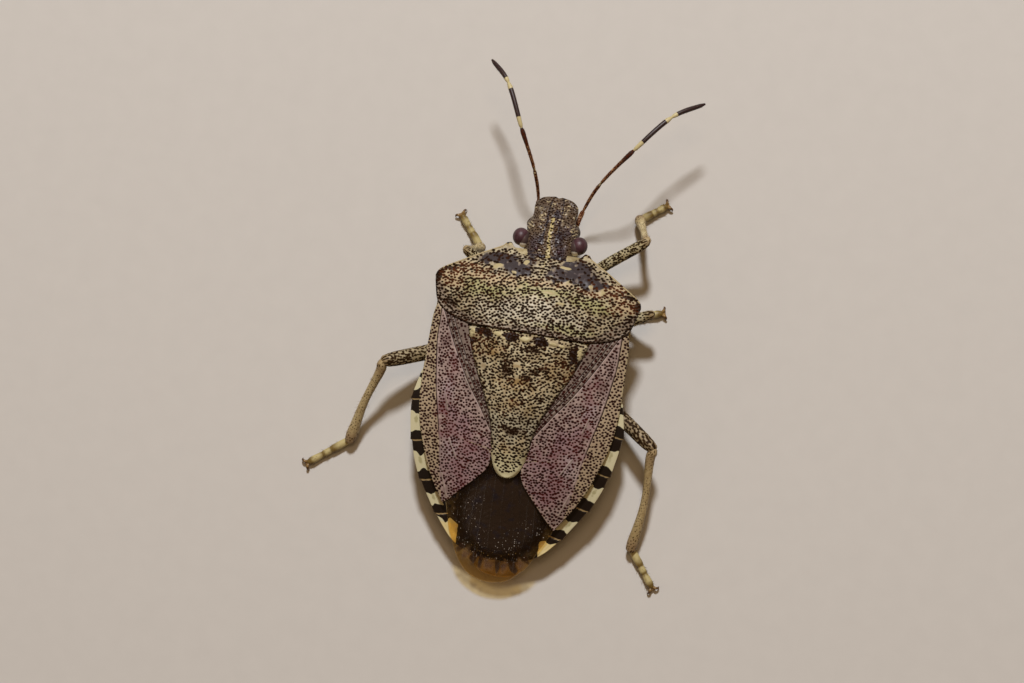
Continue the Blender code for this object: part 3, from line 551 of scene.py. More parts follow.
FOLD_PIT_ROWS = (0.075, 0.225, 0.37, 0.5, 0.63, 0.76)  # how far inside the fold line each row of pits runs


def along_line(x, y, start, end, width):
    """1 on the line from start to end, falling to nothing at width from it."""
    dx, dy = end[0] - start[0], end[1] - start[1]
    t = np.clip(((x - start[0]) * dx + (y - start[1]) * dy) / (dx * dx + dy * dy), 0, 1)
    return bump(np.hypot(x - start[0] - t * dx, y - start[1] - t * dy) / width)


def from_fold_line(x, y):
    return (x - through(FOLD_LINE)(y)) * FOLD_SLOPE


def pale_veins(x, y, width):
    return np.max([along_line(x, y, start, end, width) for start, end in PALE_VEINS], axis=0)


def fore_wing(name, side, seed):
    rear_edge = WING_REAR[name]
    share = np.linspace(0, 1, int(WING_LENGTH / DETAIL))[:, None]
    across = np.linspace(0, 1, int(WING_WIDTH / DETAIL))[None, :]
    outer_y = WING_FRONT + (rear_edge[-1][1] - WING_FRONT) * share
    outer_x = through(WING_OUTER)(outer_y)
    beside = np.linspace(2.62, rear_edge[0][1], 40)
    inner = [(max(x, rear_edge[0][0] * (y < 0)), y) for x, y in zip(through(SCUTELLUM_HALF)(beside) - 0.03, beside)]
    inner += [(x, y) for x, y in zip(*[edge(np.linspace(0.04, 1, 22)) for edge in rail(rear_edge)])]
    inner[-1] = (outer_x[-1, 0] - 0.03, inner[-1][1] - 0.01)
    steps = np.concatenate([[0], np.cumsum(np.hypot(*np.diff(np.array(inner), axis=0).T))])
    inner_x, inner_y = [np.interp(share, steps / steps[-1], values) for values in zip(*inner)]
    x = outer_x + (inner_x - outer_x) * across
    y = outer_y + (inner_y - outer_y) * across
    front_part = ease(y, -1.75, -1.5)
    from_fold = from_fold_line(x, y)
    from_strip = x - through(STRIP_LINE)(y)
    from_edge = outer_x - x
    from_rear = (1 - across) * (outer_x - inner_x) * ease(inner_y, rear_edge[0][1] + 0.3, rear_edge[0][1])
    from_rear = np.where(from_rear > 0, from_rear, 9)
    # Painted shade: the groove by the strip line is painted dark as the shadow beside its raised vein, as are fold
    # grooves.
    groove = bump(from_strip / 0.035) * ease(y, -3.0, -1.5)
    ridge = bump((from_strip + 0.06) / 0.045) * ease(y, -3.6, -2.6)
    veins = pale_veins(x, y, 0.05)
    lines = np.max([bump((from_fold + away) / 0.03) for away in (0.0, 0.15, 0.29)], axis=0) * front_part
    between = np.max([bump((from_fold + away) / 0.04) for away in (0.07, 0.22)], axis=0) * front_part
    inside_fold = ease(-from_fold, 0.0, 0.05) * front_part
    strip = ease(from_strip, -0.02, 0.02)
    wine = spots_at(x, y, WINE_AREAS) * (0.8 + 0.5 * mottle(x, y, 0.2, seed + 1))
    purple = spots_at(x, y, PURPLE_AREAS)
    lilac = spots_at(x, y, LILAC_AREAS)

    def wanted(px, py):
        line = bump((px - through(STRIP_LINE)(py) + 0.01) / 0.06) * ease(py, -3.4, -2.0)
        beside_fold = ease(-from_fold_line(px, py), -0.08, -0.05) * (py > -1.6)
        return 1.05 - pale_veins(px, py, 0.06) - line - beside_fold

    places = [scatter((0, -5.2), (4.1, 3.2), WING_PIT_GAP, wanted, seed)]
    random = np.random.default_rng(seed + 6)
    row = np.arange(-1.6, 2.9, 0.1)
    for away in FOLD_PIT_ROWS:
        row_y = row + random.normal(0, 0.018, len(row))
        row_x = through(FOLD_LINE)(row_y) - away / FOLD_SLOPE + random.normal(0, 0.014, len(row))
        places.append(np.stack([row_x, row_y], -1)[random.random(len(row)) < 0.85])
    pit, own = pitted(x, y, np.concatenate(places), WING_PIT, 1.25, seed + 3)
    pit = pit * (1 - 0.9 * np.maximum(veins, ridge))
    z = back(x, y) - 0.02 + 0.03 * ridge + 0.02 * veins - 0.03 * groove - 0.035 * lines + 0.015 * between
    z = z + 0.02 * mottle(x, y, 0.9, seed + 5) - PIT_DEPTH * ease(pit, 0.15, 0.7)
    front = ease(y - through(PRONOTUM_REAR)(x), -0.12, 0.1)
    z = z - 0.14 * front - 0.06 * ease(across, 0.95, 1.0) * front_part
    skin = chitin(name + "_chitin", ("#ad9990", "#93807a", "#7d6762"),
                  (("lines", "#2c1d14"), ("border", "#a89a78")), ("#2c1511", "#481a15"),
                  (("lilac", "#b0a0a4"), ("inside_fold", "#786a60"), ("strip", "#ac9a7e"), ("purple", "#94767e"),
                   ("wine", "#845e62"), ("vein", "#958a7c")), halo=0.35)
    body = plate(side * x, y, z, WING_EDGE, pit=pit, warm=0.4 + 0.4 * wine - 0.2 * strip + 0.4 * (own - 0.5),
                 wine=0.6 * wine, purple=0.65 * purple, lilac=0.6 * lilac, inside_fold=0.85 * inside_fold,
                 strip=0.85 * strip,
                 lines=np.maximum(lines, groove), vein=np.maximum(veins, 0.7 * between) * 0.6,
                 border=np.maximum(bump(from_edge / 0.06) * ease(y, -4.4, -3.5), 0.6 * bump(from_rear / 0.05)))
    piece(name + "_leather", [body], skin, "wing_leather", "corium_" + name[5:])


fore_wing("wing_left", -1, 31)
fore_wing("wing_right", 1, 41)


# The wing tips: a thin clear amber film grown onto each leathery part's rear edge, stiffened by lengthwise veins. The
# left one lies over the right. Over the black back they look black, and behind it they let light through to the floor.
FILM_DROP = 0.1  # how far the upper film lies below the line of the back
FILM_DROOP = 0.2  # how far its tail end bends down
FILM_THICKNESS = 0.02
FILM_ROOT = ((-2.3, -4.7), (-1.6, -3.75), (-0.88, -2.75), (-0.2, -2.75), (0.42, -2.8))
FILM_RIM = {  # each film's outer and rear edge; the left one reaches further out
    "wing_left": ((-2.14, -5.3), (-2.0, -5.85), (-1.84, -6.2), (-1.66, -6.65), (-1.48, -6.95), (-1.15, -7.36),
                  (-0.72, -7.6), (-0.2, -7.68), (0.3, -7.62), (0.75, -7.4), (1.15, -7.0)),
    "wing_right": ((-2.1, -5.3), (-1.86, -5.78), (-1.64, -6.2), (-1.4, -6.7), (-1.1, -7.08), (-0.7, -7.3),
                   (-0.2, -7.38), (0.3, -7.32), (0.75, -7.1), (1.1, -6.8)),
}
FILM_VEINS = (0.05, 0.14, 0.24, 0.35, 0.46, 0.57, 0.68, 0.8, 0.92)
DISC_CENTRE = (0.0, -4.85)  # the black back under the films ends in an arc round this point
DISC_RADIUS = 1.88
STREAKS = (-42, -25, -15, 3, 21, 39)  # both in degrees from straight behind that point
CELLS = (-33, -6, 12, 30)


def film_material():
    """Wing film: clear chitin two hundredths of a millimetre thick, yellow from tanning, with a hard wet-looking gloss.
    Its finest creases glint one by one, drawn as pale flecks because they are too fine to catch a lamp here."""
    made, tree, at = new_material("wing_film")
    stain, cell, streak, rim, glint, thin = [add_node(tree, "Attribute", out="Fac", attribute_name=key)
                                             for key in ("stain", "cell", "streak", "rim", "glint", "thin")]
    cloud = add_node(tree, "TexNoise", {"Vector": at, "Scale": 3.0, "Detail": 4.0})
    stain = add_node(tree, "Math", {0: cloud, 1: 0.6, 2: stain}, operation="MULTIPLY_ADD")
    flecks = add_node(tree, "TexVoronoi", {"Vector": at, "Scale": 11.0})
    chosen = add_node(tree, "SeparateColor", {0: flecks.node.outputs["Color"]})
    brown, black, violet, clear, middle, bright = [
        add_node(tree, "MapRange", {0: value, 1: start, 2: end, 3: first, 4: last}, interpolation_type="SMOOTHSTEP")
        for value, start, end, first, last in (
            (stain, 0.32, 0.55, 0, 1), (stain, 0.55, 1.1, 0, 1), (cloud, 0.5, 0.7, 0, 1),
            (stain, 0.36, 1.05, 0.95, 0.12), (flecks, 0.12, 0.3, 1, 0), (chosen, 0.5, 1.1, 0, 1))]
    for part in (middle, bright):
        glint = add_node(tree, "Math", {0: glint, 1: part}, operation="MULTIPLY")
    colour = linear("#d4aa60")
    for mask, top in ((brown, "#6c5230"), (black, "#2c2018"), (violet, "#221d24"), (cell, "#7c6050"),
                      (streak, "#351d0c"), (rim, "#bba97f"), (glint, "#efe9df")):
        colour = add_node(tree, "Mix", {0: mask, 6: colour, 7: linear(top)}, out=2, data_type="RGBA")
    thin = add_node(tree, "Math", {0: thin, 1: 0.78}, operation="MULTIPLY")
    clear, opaque, glassy = [add_node(tree, "Math", {0: one, 1: other}, operation="MAXIMUM")
                             for one, other in ((clear, thin), (rim, glint), (cell, streak))]
    clear = add_node(tree, "Mix", {0: glassy, 2: clear, 3: 0.35})
    clear = add_node(tree, "Mix", {0: opaque, 2: clear, 3: 0.1})
    cells = add_node(tree, "TexVoronoi", {"Vector": at, "Scale": 14.0})
    crease = add_node(tree, "TexNoise", {"Vector": at, "Scale": 16.0, "Detail": 4.0})
    height = add_node(tree, "Math", {0: cells, 1: 0.6, 2: crease}, operation="MULTIPLY_ADD")
    grain = add_node(tree, "Bump", {"Height": height, "Strength": 0.7, "Distance": 0.012 * MM})
    skin = add_node(tree, "BsdfPrincipled", {"Base Color": colour, "Roughness": 0.24, "IOR": 1.54, "Normal": grain})
    through_it = add_node(tree, "BsdfTransparent", {"Color": linear("#f8e3b2")})
    both = add_node(tree, "MixShader", {0: clear, 1: skin, 2: through_it})
    add_node(tree, "OutputMaterial", {"Surface": both})
    return made


def wing_film(name, side, drop, finish, seed):
    root_x, root_y = rail(FILM_ROOT)
    rim_x, rim_y = rail(FILM_RIM[name])
    across = np.linspace(0, 1, 260)[None, :]
    along = np.linspace(0, 1, 220)[:, None]
    x = side * (root_x(across) + (rim_x(across) - root_x(across)) * along)
    y = root_y(across) + (rim_y(across) - root_y(across)) * along
    wave = across + 0.015 * mottle(along * 3, across * 3, 0.6, seed)
    rib = np.max([bump((wave - place) / 0.012) for place in FILM_VEINS], axis=0) * (1 - ease(along, 0.93, 0.99))
    z = back(x, y) - drop - FILM_DROOP * ease(-y, 6.6, 7.7)
    z = z + 0.02 * rib + 0.02 * mottle(x, y, 0.5, seed + 1) + 0.008 * mottle(x, y, 0.12, seed + 2)
    base = 0.45 * (1 - ease(along, 0.0, 0.25))
    from_disc = np.hypot(x - DISC_CENTRE[0], y - DISC_CENTRE[1]) - DISC_RADIUS
    turn = np.degrees(np.arctan2(x - DISC_CENTRE[0], DISC_CENTRE[1] - y)) + 3 * mottle(x, y, 0.25, 58)
    past = from_disc + 0.1 * mottle(turn / 9, 0 * y, 0.6, 59)
    streak = np.max([bump((turn - place) / (5.6 - 5 * np.clip(past, 0, 0.8))) for place in STREAKS], axis=0)
    streak = np.clip(1.7 * streak, 0, 1) * (1 - ease(past, 0.35, 0.75))
    cell = np.max([bump((turn - place) / 9) for place in CELLS], axis=0) * bump((past - 0.26) / 0.36)
    rim = np.maximum(bump((1 - along) / 0.01), bump(across / 0.008))
    glint = ease(from_disc, -1.3, -0.6) * (1 - ease(past, 0.1, 0.35)) * ease(-y + 0.7 * (x < -0.5), 4.6, 5.4)
    stain = 0.72 * (1 - ease(past, -0.1, 0.08)) + base + 0.12 * rib + 0.15 * streak + 0.17 * (1 - ease(past, 0.05, 0.5))
    sheet = plate(x, y, z, ((0.003, FILM_THICKNESS / 2), (0.0, FILM_THICKNESS)), rim=0.8 * rim, glint=glint,
                  cell=0.9 * cell * (1 - streak), streak=0.95 * streak * ease(past, -0.1, 0.1),
                  thin=ease(from_disc, -0.65, -0.15), stain=np.clip(stain, 0, 1))
    piece(name + "_film", [sheet], finish, "wing_membrane", "membrane_" + name[5:])


film = film_material()
wing_film("wing_left", 1, FILM_DROP, film, 51)
wing_film("wing_right", -1, FILM_DROP + 0.05, film, 55)


# The abdomen: the soft-jointed hind body, joined to the thorax all round and covered above by the wings. Its rim of
# flat plates shows on either side, ivory with a black block on each side of every joint. The belly is pale ochre.
ABDOMEN_HALF = ((-6.74, 0.3), (-6.71, 0.6), (-6.62, 1.05), (-6.48, 1.42), (-6.3, 1.72), (-6.0, 2.06), (-5.0, 2.84),
                (-4.0, 3.48), (-3.0, 3.92), (-1.0, 4.3), (0.2, 4.12), (1.0, 3.7))
ABDOMEN_FRONT = 1.0
ABDOMEN_TAIL = -6.74
TAIL_DROP = 0.28  # the tail lies lower than the wings, so that light gets through their tips
BELLY_MIDDLE = ((-6.98, 0.62), (-6.0, 0.7), (-4.0, 0.78), (-2.0, 1.0), (0.5, 1.32), (2.5, 1.42), (4.6, 1.55),
                (5.6, 1.9))
BELLY_RIM = ((-6.98, 0.7), (-6.0, 0.95), (-5.0, 1.2), (-4.0, 1.45), (-2.0, 1.9), (0.0, 2.2), (1.5, 2.4), (5.6, 2.5))
RIM_JOINTS = {-1: (0.55, -0.82, -2.45, -3.97, -5.22, -6.85), 1: (0.4, -1.0, -2.6, -4.1, -5.42, -7.0)}
RIM_WIDTH = 0.5
RIM_TOOTH = 0.07  # how far each plate's rear corner stands out
BLACK_BLOCKS = (0.43, 0.55)  # how far before and behind a joint the rim is black
IVORY = "#cac4a0"


def loop(y, half, top, bottom, columns, lean_at=lambda y: 0 * y):
    """A body section by section: at each y a ring over the top from left to right and back under the belly. top and
    bottom take the share across from -1 to 1, x and y. It gives x, y, z, the share, and 1 or 0 above and below."""
    turn = np.linspace(-math.pi / 2, 3 * math.pi / 2, 2 * columns, endpoint=False)[None, :]
    share = np.sin(turn) + 0 * y
    upper = np.where(np.cos(turn) + 0 * y > 0, 1, 0)
    x = half * share
    z = np.where(upper, top(share, x, y + 0 * x), bottom(share, x, y + 0 * x))
    return x + lean_at(y), y + 0 * x, z, share, upper


def unrolled(x, z):
    """How far round its ring from the top each point lies, negative on the left. It keeps pits round on steep sides."""
    columns = x.shape[1]
    steps = np.hypot(np.roll(x, -1, 1) - x, np.roll(z, -1, 1) - z)
    run = np.cumsum(steps, 1) - steps
    run = run - run[:, columns // 4, None]
    return np.where(np.arange(columns) > 3 * columns // 4, run - steps.sum(1, keepdims=True), run)


def closed_loop(x, y, z, **values):
    """The part for a loop of rings, closed at both ends."""
    values = {name: np.ravel(np.broadcast_to(value, x.shape)) for name, value in values.items()}
    return np.stack([x, y, z], -1).reshape(-1, 3), grid_faces(*x.shape, ring=True), values


def nearest_joint(x, y, joints):
    """How far before its nearest joint each point lies, and its share of the way along its plate."""
    away = np.full(np.shape(y), 9.0)
    share = np.zeros(np.shape(y))
    for side in (-1, 1):
        here = np.sign(x) == side
        places = np.array(joints[side])
        steps = y[..., None] - places
        pick = np.take_along_axis(steps, np.argmin(np.abs(steps), -1)[..., None], -1)[..., 0]
        segment = np.clip(np.searchsorted(-places, -y) - 1, 0, len(places) - 2)
        along = np.clip((places[segment] - y) / (places[segment] - places[segment + 1]), 0, 1)
        away, share = np.where(here, pick, away), np.where(here, along, share)
    return away, share


def abdomen():
    y = np.linspace(ABDOMEN_FRONT, ABDOMEN_TAIL, 260)[:, None]
    y = y - 0.02 * np.sin(y)
    half = through(ABDOMEN_HALF)
    belly, rim = through(BELLY_MIDDLE), through(BELLY_RIM)

    def top(share, x, at):
        cover = 0.34 - 0.12 * ease(np.abs(share), 0.8, 0.95)
        return back(x, at) - cover + 0.05 * ease(np.abs(share), 0.93, 1.0) - TAIL_DROP * ease(-at, 6.1, 6.74)

    def bottom(share, x, at):
        return belly(at) + (rim(at) - belly(at)) * np.abs(share) ** 2.3

    x, y, z, share, upper = loop(y, half(y), top, bottom, 110)
    away, plate_share = nearest_joint(x, y + 0.06 * np.cos(4 * (half(y) - np.abs(x))), RIM_JOINTS)
    tooth = RIM_TOOTH * plate_share ** 4 * ease(np.abs(share), 0.8, 1.0)
    x = x + np.sign(x) * tooth
    from_rim = half(y) - np.abs(x) + tooth
    wide = RIM_WIDTH + 0.2 * ease(-y, 5.3, 5.6)
    edge_zone = 1 - ease(from_rim, wide, wide + 0.12)
    seam = bump(away / 0.045)
    under = 1 - upper
    z = z + (under - upper) * 0.03 * seam * edge_zone + under * (1 - edge_zone) * 0.05 * bump(away / 0.07)
    wobble = 0.1 * mottle(x * 1.5, y, 0.3, 61)
    rounded = 0.16 * bump(from_rim / 0.22) + 0.1 * bump((RIM_WIDTH - from_rim) / 0.15)
    black = np.where(away > 0, BLACK_BLOCKS[0], BLACK_BLOCKS[1] - 0.27 * (y < -5.2))
    blocks = ease(black - 0.6 * rounded - np.abs(away) + wobble, -0.03, 0.03) * edge_zone * (1 - ease(y, 0.1, 0.3))
    blocks = blocks * np.where(upper, 1, 0.9 * ease(0.3 - from_rim, -0.05, 0.05))
    blocks = np.maximum(blocks, upper * np.maximum(1 - edge_zone, (1 - ease(np.abs(x), 1.6, 1.75)) * (y < -5)))
    # Painted shade: a dark line along the outer edge, where the rim rounds down, stronger over the black blocks.
    rim_line = (1 - ease(from_rim, 0.02, 0.06)) * 0.55 * (0.5 + 0.5 * blocks)
    places = scatter((-9.5, -7), (9.5, 1), 0.17, lambda px, py: 0.25 + 0.4 * (1 - ease(np.abs(px), 5.5, 7.5)), 62)
    pit, own = pitted(unrolled(x, z), y, places, 0.035, 1.2, 63)
    pit = pit * under * (1 - edge_zone)
    air_hole = bump(np.hypot((np.abs(x) - 0.78 * half(y)) / 0.13, (plate_share - 0.45) / 0.1)) * under * (1 - edge_zone)
    z = z + under * PIT_DEPTH * 0.6 * ease(pit, 0.15, 0.7) + 0.03 * air_hole
    skin = chitin("abdomen_chitin", ("#bdb38e", "#a99c76", "#94855f"),
                  (("ivory", IVORY), ("olive", "#aaa47c"), ("amber", "#d6c690"), ("blocks", "#170e08"),
                   ("seam", "#9a845c"), ("rim_line", "#2f2214"), ("air_hole", "#2a1c12")), roughness=0.4)
    olive = upper * bump((from_rim - 0.25) / 0.2) * bump((plate_share - 0.5) / 0.3)
    body = closed_loop(x, y, z, pit=pit, warm=0.3 * own, ivory=edge_zone * upper, blocks=blocks * 1.1,
                       olive=0.6 * olive, seam=seam * edge_zone * 0.9, rim_line=rim_line, air_hole=air_hole,
                       amber=edge_zone * upper * ease(-y, 5.4, 5.7))
    piece("abdomen_body", [body], skin, "abdomen_shell", "abdomen")


abdomen()


# The thorax: the middle of the body, seen from the side and from below. Three rings of pitted chitin, grown together
# with a seam between them, carry the legs.
THORAX_HALF = ((0.7, 3.55), (2.0, 3.85), (3.2, 3.93), (4.1, 3.95), (4.6, 3.55), (5.2, 2.6), (5.7, 1.75), (5.95, 1.25))
THORAX_FRONT = 5.8
THORAX_REAR = 0.6
THORAX_SEAMS = (5.6, 3.75, 2.15, 0.75)


def thorax():
    y = np.linspace(THORAX_FRONT, THORAX_REAR, 180)[:, None]
    half = through(THORAX_HALF)
    belly = through(BELLY_MIDDLE)

    def top(share, x, at):
        return back(x, at) - 0.3

    def bottom(share, x, at):
        side = back_rim(at) - 0.45 + 0 * x
        return belly(at) + (side - belly(at)) * np.abs(share) ** 1.9

    x, y, z, share, upper = loop(y, half(y), top, bottom, 90, lean)
    bent = y + 0.35 * np.abs(share) ** 2
    away, _ = nearest_joint(x, bent, {-1: THORAX_SEAMS, 1: THORAX_SEAMS})
    under = 1 - upper
    seam = bump(away / 0.06) * under
    places = scatter((-9.5, 0.5), (9.5, 5.9), 0.15, lambda px, py: 0.2 + 0.8 * (1 - ease(np.abs(px), 6.2, 7.2)), 71)
    pit, own = pitted(unrolled(x, z), y, places, 0.042, 1.3, 72)
    pit = pit * under * (1 - seam)
    z = z + 0.07 * seam + under * PIT_DEPTH * ease(pit, 0.15, 0.7)
    skin = chitin("thorax_chitin", ("#b3a682", "#97875f", "#7b6a49"), (("seam", "#4a3a26"), ("matt", "#6f6553")))
    vent = bump(np.hypot((np.abs(x) - 2.2) / 0.8, (y - 1.5) / 0.45)) * under
    body = closed_loop(x, y, z, pit=pit * (1 - vent), warm=0.35 + 0.3 * own, seam=0.8 * seam, matt=vent)
    piece("thorax_body", [body], skin, "body_shell", "thorax")


thorax()


# The head: a flat wedge of dark chitin, sunk into the pronotum's front edge, with a middle lobe between two cheeks. It
# is wrinkled and flecked with pale marks, and a pale line runs down its middle.
HEAD_HALF = ((5.55, 0.98), (5.8, 1.0), (6.05, 1.04), (6.3, 1.06), (6.5, 1.0), (6.7, 1.03), (6.86, 1.05), (7.0, 0.98),
             (7.12, 0.87), (7.3, 0.86), (7.6, 0.89), (7.8, 0.86), (7.94, 0.76), (8.04, 0.62), (8.1, 0.45), (8.14, 0.22))
HEAD_TOP = ((5.55, 3.5), (5.8, 3.42), (6.3, 3.28), (7.0, 2.93), (7.6, 2.57), (8.14, 2.16))
HEAD_BOTTOM = ((5.55, 1.9), (6.5, 1.8), (7.3, 1.78), (8.14, 1.98))
HEAD_LINE = ((5.6, 0.07), (6.0, 0.02), (6.5, -0.02), (7.0, 0.0), (7.4, 0.03))
HEAD_DARK = ((0.14, 7.42, 0.17, 0.36), (0.46, 6.55, 0.2, 0.28), (-0.36, 6.15, 0.13, 0.3), (-0.28, 6.3, 0.07, 0.5),
             (0.3, 6.4, 0.08, 0.4), (-0.25, 7.1, 0.06, 0.4), (0.62, 5.75, 0.2, 0.1), (-0.6, 5.72, 0.25, 0.08))
# Places of painted sheen: a purple-grey tint where the smooth swellings shine.
HEAD_PAINTED_SHEEN = ((-0.6, 6.0, 0.25, 0.35), (0.6, 6.05, 0.25, 0.4), (0.75, 6.75, 0.2, 0.2), (0.2, 7.3, 0.16, 0.5))
HEAD_PALE = ((-0.55, 7.55, 0.16, 0.12), (0.5, 7.5, 0.14, 0.2), (-0.92, 6.85, 0.1, 0.12), (0.45, 7.0, 0.16, 0.08),
             (-0.5, 7.25, 0.12, 0.1), (0.92, 6.8, 0.08, 0.12))
HEAD_DASHES = ((0.97, 6.78, 0.15, 0.24),)


def head():
    y = np.linspace(HEAD_TOP[-1][0], HEAD_TOP[0][0], 190)[:, None]
    half, crown, throat, middle = [through(line) for line in (HEAD_HALF, HEAD_TOP, HEAD_BOTTOM, HEAD_LINE)]

    def domed(share, at, height):
        side = crown(at) * 0.42 + throat(at) * 0.58
        return side + (height(at) - side) * np.sqrt(np.clip(1 - 0.96 * share ** 2, 0, 1))

    def bottom(share, x, at):
        cheek = 0.14 * bump((np.abs(x) - 0.28) / 0.12) * ease(at, 6.4, 6.9)
        return domed(share, at, throat) - (cheek - 0.1 * bump(x / 0.18) * ease(at, 6.2, 6.6))

    x, y, z, share, on_top = loop(y, half(y), lambda share, x, at: domed(share, at, crown), bottom, 130)
    y = y - 0.05 * bump((x - 0.02) / 0.14) * ease(y, 7.8, 8.1)
    lobe = 0.2 + 0.07 * ease(y, 6.4, 7.2) - 0.05 * ease(y, 7.6, 8.1)
    groove = bump((np.abs(x - 0.02) - lobe) / 0.05) * ease(y, 6.5, 6.9) * on_top
    line = bump((x - middle(y) + 0.03 * mottle(0 * x, y, 0.16, 86)) / (0.125 + 0.07 * ease(-y, -5.9, -5.6)))
    line = line * (1 - ease(y, 7.1, 7.4)) * on_top
    dashes = ease(np.sin((y - 0.7 * np.abs(x)) * 2 * math.pi / 0.15), 0.1, 0.8) * on_top
    dashes = dashes * spots_at(np.abs(x), y, HEAD_DASHES)
    pale = spots_at(x, y, HEAD_PALE) * on_top
    around = unrolled(x, z)
    places = scatter((-2.9, 5.5), (2.9, 8.2), 0.088, lambda px, py: 1.05 - 0.5 * spots_at(px, py, HEAD_PALE), 81)
    pit, own = pitted(around, y, places, 0.025, 1.9, 82)
    line_pits = scatter((-0.15, 5.6), (0.15, 7.4), 0.15, lambda px, py: 0.7 + 0 * px, 89)
    line_pit, _ = pitted(x - middle(y), y, line_pits, 0.045, 1.3, 90)
    pit = np.maximum(pit, line_pit * line * 1.2)
    worms = scatter((-1.7, 5.6), (1.7, 8.1), 0.11,
                    lambda px, py: 0.04 + 0.16 * ease(py, 6.6, 7.4) + 0.6 * spots_at(px, py, HEAD_PALE), 83)
    fleck, _ = pitted(around, y, worms, 0.031, 2.6, 84)
    fleck = np.maximum(fleck * on_top * (1 - line) * (1 - spots_at(x, y, HEAD_DARK)), 0.9 * dashes)
    rough = 0.04 * mottle(x * 1.3, y, 0.13, 85) + 0.035 * mottle(x, y, 0.3, 87)
    z = z + (2 * on_top - 1) * (rough - 0.02 * ease(pit, 0.15, 0.7) + 0.012 * ease(fleck, 0.1, 0.5)) - 0.05 * groove
    z = z + on_top * 0.035 * bump(x / (lobe + 0.02)) * ease(y, 6.7, 7.2)
    z = z - on_top * 0.05 * bump((y - 6.62) / 0.2) * (1 - np.abs(share))
    # The gloss tint is painted sheen, purple-grey where the smooth swellings shine.
    skin = chitin("head_chitin", ("#605141", "#4b3f34", "#382f28"),
                  (("fleck", "#ab9c7a"), ("dark", "#342d31"), ("line", "#b0a06e")),
                  ("#1c1009", "#30190d"), (("brown", "#5d4a35"), ("pale", "#a39270"), ("gloss", "#4d4245")),
                  roughness=0.4, halo=0.3, shine=0.45)
    brown = 0.5 + 0.4 * mottle(x, y, 0.2, 88) - 0.3 * pale
    # The head's own dark marks, and painted shade: darker grooves beside the middle lobe, and a dark rear edge for the
    # gap.
    dark = np.max([spots_at(x, y, HEAD_DARK) * 0.75, 0.7 * groove, ease(-y, -5.68, -5.62)], axis=0)
    body = closed_loop(x + HEAD_LEAN, y, z, pit=pit * (1 - 0.6 * fleck), warm=0.3 + 0.4 * own, line=line,
                       pale=pale * 0.35, brown=brown, fleck=fleck * 1.5, dark=dark,
                       gloss=0.9 * spots_at(x, y, HEAD_PAINTED_SHEEN) * on_top)
    piece("head_capsule", [body], skin, "head_shell", "head")


head()


# The eyes: two domes of hundreds of facets, dark purple-brown and glossy like polished horn, set into the head's sides
# in pale socket rims. Two small glassy simple eyes sit behind them on the crown.
EYE_CENTRE = (1.19, 6.28, 2.74)
EYE_RADIUS = 0.36
SIMPLE_EYE = (0.45, 5.86, 3.32)
SIMPLE_EYE_RADIUS = 0.075


def ball(centre, radius, stretch=(1, 1, 1), detail=4):
    """A fine round ball, as a part. Its value named rear is 1 at its back."""
    shape = bmesh.new()
    bmesh.ops.create_icosphere(shape, subdivisions=detail, radius=1)
    points = np.array([vertex.co for vertex in shape.verts])
    faces = [[vertex.index for vertex in face.verts] for face in shape.faces]
    shape.free()
    return points * radius * np.array(stretch) + centre, faces, {"rear": ease(-points[:, 1], 0.45, 0.65)}


def facets():
    """Facets of clear horn over dark pigment. A real facet is 0.02 mm wide, and they are drawn at 0.03 mm so that they
    show: each is a small lens, which breaks the shine into a fine net."""
    made, tree, at = new_material("eye_facets")
    cells = add_node(tree, "TexVoronoi", {"Vector": at, "Scale": 1 / 0.03, "Randomness": 0.35})
    cloud = add_node(tree, "TexNoise", {"Vector": at, "Scale": 3.0, "Detail": 2.0})
    cloud = add_node(tree, "MapRange", {0: cloud, 1: 0.35, 2: 0.65})
    height = add_node(tree, "SeparateXYZ", {0: at}, out=2)
    # Painted highlight: the lower part of each eye is painted lighter, as the sheen along its rim.
    low = add_node(tree, "MapRange", {0: height, 1: EYE_CENTRE[2] + 0.14, 2: EYE_CENTRE[2] - 0.06, 4: 0.8})
    colour = linear("#331b1f")
    for mask, top in ((cloud, "#50343a"), (low, "#6c5250")):
        colour = add_node(tree, "Mix", {0: mask, 6: colour, 7: linear(top)}, out=2, data_type="RGBA")
    lens = add_node(tree, "Bump", {"Height": cells, "Strength": 0.5, "Distance": 0.008 * MM}, invert=True)
    shader = add_node(tree, "BsdfPrincipled", {"Base Color": colour, "Roughness": 0.4, "IOR": 1.42, "Normal": lens})
    add_node(tree, "OutputMaterial", {"Surface": shader})
    return made


eye_skin = facets()
socket_skin = chitin("eye_socket_chitin", ("#4a3a36", "#40322f", "#352a26"), (("rear", "#d6d0c2"),))
for name, side in (("eye_left", -1), ("eye_right", 1)):
    centre = (side * EYE_CENTRE[0] + HEAD_LEAN, EYE_CENTRE[1], EYE_CENTRE[2])
    piece(name + "_facets", [ball(centre, EYE_RADIUS, (0.92, 1.0, 1.0))], eye_skin, "eye_facets", name)
    socket = ball((centre[0] - side * 0.14, centre[1] - 0.08, centre[2] - 0.03), EYE_RADIUS, (0.74, 0.98, 0.98))
    piece(name + "_socket", [socket], socket_skin, "head_shell")
piece("simple_eyes", [ball((side * SIMPLE_EYE[0] + HEAD_LEAN, *SIMPLE_EYE[1:]), SIMPLE_EYE_RADIUS, (1, 1, 0.8), 3)
                      for side in (-1, 1)], eye_skin, "eye_facets")


# The beak: a jointed sheath of four chitin tubes that holds the sucking bristles. It is hinged under the head's front
# and folded back along the underside, and its tip is dark and pointed.
BEAK_JOINTS = ((0.1, 7.55, 1.5), (0.08, 6.5, 1.3), (0.0, 4.8, 1.2), (0.0, 3.0, 1.0), (0.0, 1.6, 0.9))
BEAK_RADIUS = 0.17
LIMB_DETAIL = 0.025  # distance between a limb's rings
LIMB_ENDS = np.array((0.97, 0.86, 0.64, 0.3))  # the rings that round a limb's end, as shares of its radius
ALMOST_UP = np.array((0.02, 0.03, 1.0))


